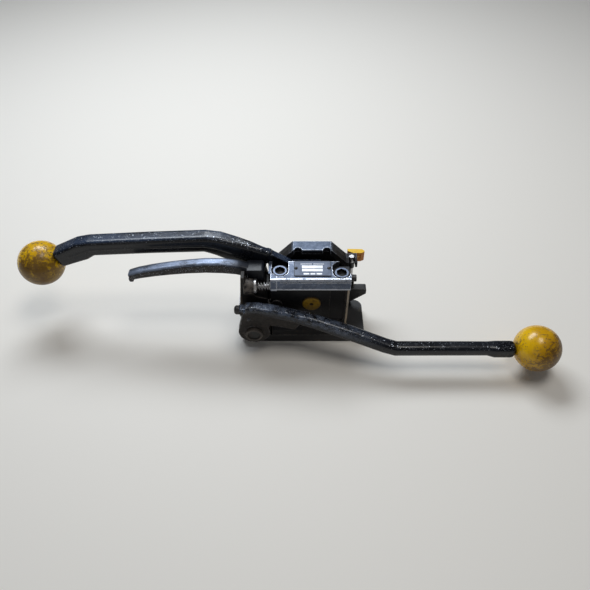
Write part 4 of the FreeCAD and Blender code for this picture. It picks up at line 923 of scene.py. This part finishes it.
ball_knob("sealing_ball", SEALING_KNOB, SEALING_SHANK - SEALING_KNOB, "sealing_lever",
          "yellow_knob_left")
ball_knob("tension_ball", TENSION_KNOB, -X_AXIS, "tension_lever", "yellow_knob")

# ---------------------------------------------------------------- head

forging(cad_copy("rocker_body"), "rocker_casting", "rocker", "rocker_casting",
        "rocker_body", voxel=0.6, smooth_angle=70)

# CAD node, body, finish, slot, broken corner in mm, and its segments where it is seen close to.
LARGE_PARTS = (
    ("housing", "frame", "black_casting", "black_casting", 0.8, 3),
    ("base_plate", "frame", "base_casting", "black_casting", 0.9, 3),
    ("rear_bridge", "frame", "hood_steel", "blued_steel", 0.9, 3),
    ("top_cover", "frame", "blued_steel", "blued_steel", 0.7, 3),
    ("name_plate", "frame", "plate_grey", "plate_grey", 0.25, 2),
    ("spring_anchor", "frame", "blued_steel", "blued_steel", 0.6, 3),
    ("cover_screws", "frame", "cover_screw_steel", "black_screws", 0.7, 3),
    ("access_plug", "frame", "plug_yellow", "yellow_paint", 0.3, 2),
    ("strap_stop", "strap_stop", "bridge_steel", "black_casting", 0.7, 3),
    ("thumb_lever", "strap_stop", "thumb_yellow", "yellow_paint", 1.2, 4),
)
SMALL_PARTS = (
    ("name_plate_rivets", "frame", "black_screws", "bright_steel", 0.2),
    ("bridge_screws", "frame", "black_screws", "black_screws", 0.5),
    ("base_screws", "frame", "black_screws", "black_screws", 0.5),
    ("die_screws", "frame", "black_screws", "black_screws", 0.2),
    ("die_block", "frame", "tool_steel", "tool_steel", 0.3),
    ("cam_bushes", "frame", "bronze", "bronze", 0.3),
    ("spring_guide_rod", "frame", "bright_steel", "bright_steel", 0.4),
    ("rocker_pivot_pin", "frame", "black_screws", "bright_steel", 0.5),
    ("strap_guide", "frame", "tool_steel", "tool_steel", 0.3),
    ("pivot_circlip", "frame", "spring_steel", "spring_steel", 0.2),
    ("cutter_clamp_screw", "frame", "black_screws", "black_screws", 0.6),
    ("cam_shaft", "sealing_lever", "bright_steel", "bright_steel", 0.6),
    ("cam", "sealing_lever", "tool_steel", "tool_steel", 0.3),
    ("cam_key", "sealing_lever", "bright_steel", "bright_steel", 0.1),
    ("ram", "ram", "tool_steel", "tool_steel", 0.4),
    ("punches", "ram", "tool_steel", "tool_steel", 0.2),
    ("cutter_blade", "ram", "tool_steel", "tool_steel", 0.15),
    ("blade_screws", "ram", "black_screws", "black_screws", 0.15),
    ("roller_pin", "ram", "bright_steel", "bright_steel", 0.3),
    ("cam_roller", "cam_roller", "bright_steel", "bright_steel", 0.4),
    ("rocker_lever_pins", "rocker", "bright_steel", "bright_steel", 0.4),
    ("spring_seat", "rocker", "bright_steel", "bright_steel", 0.5),
    ("rocker_bush", "rocker", "bronze", "bronze", 0.3),
    ("shaft_bushes", "rocker", "bronze", "bronze", 0.4),
    ("holding_pawl_pin", "rocker", "bright_steel", "bright_steel", 0.3),
    ("holding_pawl", "holding_pawl", "tool_steel", "tool_steel", 0.3),
    ("feed_shaft", "feed_shaft", "soiled_steel", "bright_steel", 0.6),
    ("feed_wheel", "feed_shaft", "tool_steel", "tool_steel", 0.1),
    ("shaft_keys", "feed_shaft", "bright_steel", "bright_steel", 0.1),
    ("ratchet_wheel", "feed_shaft", "tool_steel", "tool_steel", 0.2),
    ("shaft_end_cap", "feed_shaft", "hub_soil", "black_casting", 0.5),
    ("hub_cover", "tension_lever", "hub_soil", "blued_steel", 0.25),
    ("hub_cover_screws", "tension_lever", "black_screws", "black_screws", 0.15),
    ("pawl_pin", "tension_lever", "black_paint", "bright_steel", 0.3),
    ("pawl_spring_plug", "tension_lever", "black_screws", "black_screws", 0.4),
    ("drive_pawl", "drive_pawl", "tool_steel", "tool_steel", 0.3),
    ("stop_spindle", "strap_stop", "bright_steel", "bright_steel", 0.5),
    ("gripper_plate", "gripper", "tool_steel", "tool_steel", 0.2),
)
for part in LARGE_PARTS + SMALL_PARTS:
    machined(*part)

springs("rocker_spring_coil", "rocker_spring", ((-51.5, -23, 84.8),), X_AXIS,
        radius=3.9, wire=1.3, length=16.5, turns=6)
springs("ram_spring_coils", "ram_return_springs", ((-4, -11.1, 17), (22, -11.1, 17)), Z_AXIS,
        radius=1.1, wire=0.5, length=22.0, turns=9)
springs("gripper_spring_coils", "gripper_springs", ((-59, 0, 4), (-49, 0, 4)), Z_AXIS,
        radius=1.6, wire=0.6, length=5.6, turns=4)


def bar_field(x, y, z):
    """Thin raised printed field, from (low, high) pairs in mm."""
    bm = bmesh.new()
    centre = mm((x[0] + x[1]) / 2, (y[0] + y[1]) / 2, z + PRINT_THICKNESS / 2)
    size = ((x[1] - x[0]) * MM, (y[1] - y[0]) * MM, PRINT_THICKNESS * MM, 1)
    bmesh.ops.create_cube(bm, size=1.0, matrix=Matrix.Translation(centre) @ Matrix.Diagonal(size))
    return bm


PLATE_TOP = 100.0
PLATE_FIELDS = (
    ((-1.6, 20.4), (-11.3, -7.4)), ((-1.6, 20.4), (-16.1, -12.3)), ((0.0, 6.0), (-20.8, -18.6)),
    ((7.2, 12.4), (-20.8, -18.6)), ((13.6, 19.4), (-20.8, -18.6)), ((-3.0, 9.0), (-5.6, -4.8)),
    ((10.4, 22.0), (-5.6, -4.8)),
)
fields = bmesh.new()
for x, y in PLATE_FIELDS:
    add_bmesh(fields, bar_field(x, y, PLATE_TOP))
finish_piece(fields, "plate_blank_fields", "frame", "plate_white", bevel=0.04)

# ---------------------------------------------------------------- floor, light and camera

floor_mesh = bpy.data.meshes.new("floor")
floor_form = bmesh.new()
bmesh.ops.create_grid(floor_form, x_segments=1, y_segments=1, size=3.0)
floor_form.to_mesh(floor_mesh)
floor_form.free()
floor = bpy.data.objects.new("floor", floor_mesh)
bpy.context.scene.collection.objects.link(floor)
floor_shade = Shade("pale_floor")
floor_shade.set(Base_Color=rgb(0.86, 0.83, 0.78), Roughness=0.6)
floor_mesh.materials.append(floor_shade.material)


def area_light(name, place, target, size, power, colour):
    """Rectangular light at a place, turned to its target, both in metres."""
    data = bpy.data.lights.new(name, "AREA")
    data.shape = "RECTANGLE"
    data.size, data.size_y = size
    data.energy = power
    data.color = colour
    light = bpy.data.objects.new(name, data)
    light.location = place
    light.rotation_euler = (Vector(target) - Vector(place)).to_track_quat("-Z", "Y").to_euler()
    bpy.context.scene.collection.objects.link(light)


area_light("window_behind", place=(-0.30, 0.70, 1.05), target=(0, 0, 0.05), size=(0.9, 0.40),
           power=12, colour=(0.88, 0.94, 1.0))
area_light("ceiling", place=(0.25, -0.05, 1.5), target=(0, 0, 0.05), size=(0.6, 0.45),
           power=6.0, colour=(1.0, 0.97, 0.92))
area_light("front_fill", place=(-0.5, -1.3, 0.7), target=(0, 0, 0.06), size=(1.0, 0.8),
           power=0.9, colour=(1.0, 0.97, 0.93))

world = bpy.data.worlds.new("soft_room")
world.use_nodes = True
background = world.node_tree.nodes["Background"]
background.inputs["Color"].default_value = rgb(0.92, 0.95, 1.0)
background.inputs["Strength"].default_value = 0.10
bpy.context.scene.world = world
bpy.context.scene.view_settings.view_transform = "Standard"

CAMERA_TARGET = mm(-9, -28, 76)
CAMERA_ELEVATION = math.radians(48)
CAMERA_DISTANCE = 600 * MM
CAMERA_LENS = 34.17
camera_data = bpy.data.cameras.new("view")
camera_data.lens = CAMERA_LENS
camera_data.sensor_width = 36.0
camera_data.clip_start = 0.01
camera = bpy.data.objects.new("view", camera_data)
back = Vector((0, -math.cos(CAMERA_ELEVATION), math.sin(CAMERA_ELEVATION)))
camera.location = CAMERA_TARGET + back * CAMERA_DISTANCE
camera.rotation_euler = (math.radians(90) - CAMERA_ELEVATION, 0, 0)
bpy.context.scene.collection.objects.link(camera)
bpy.context.scene.camera = camera
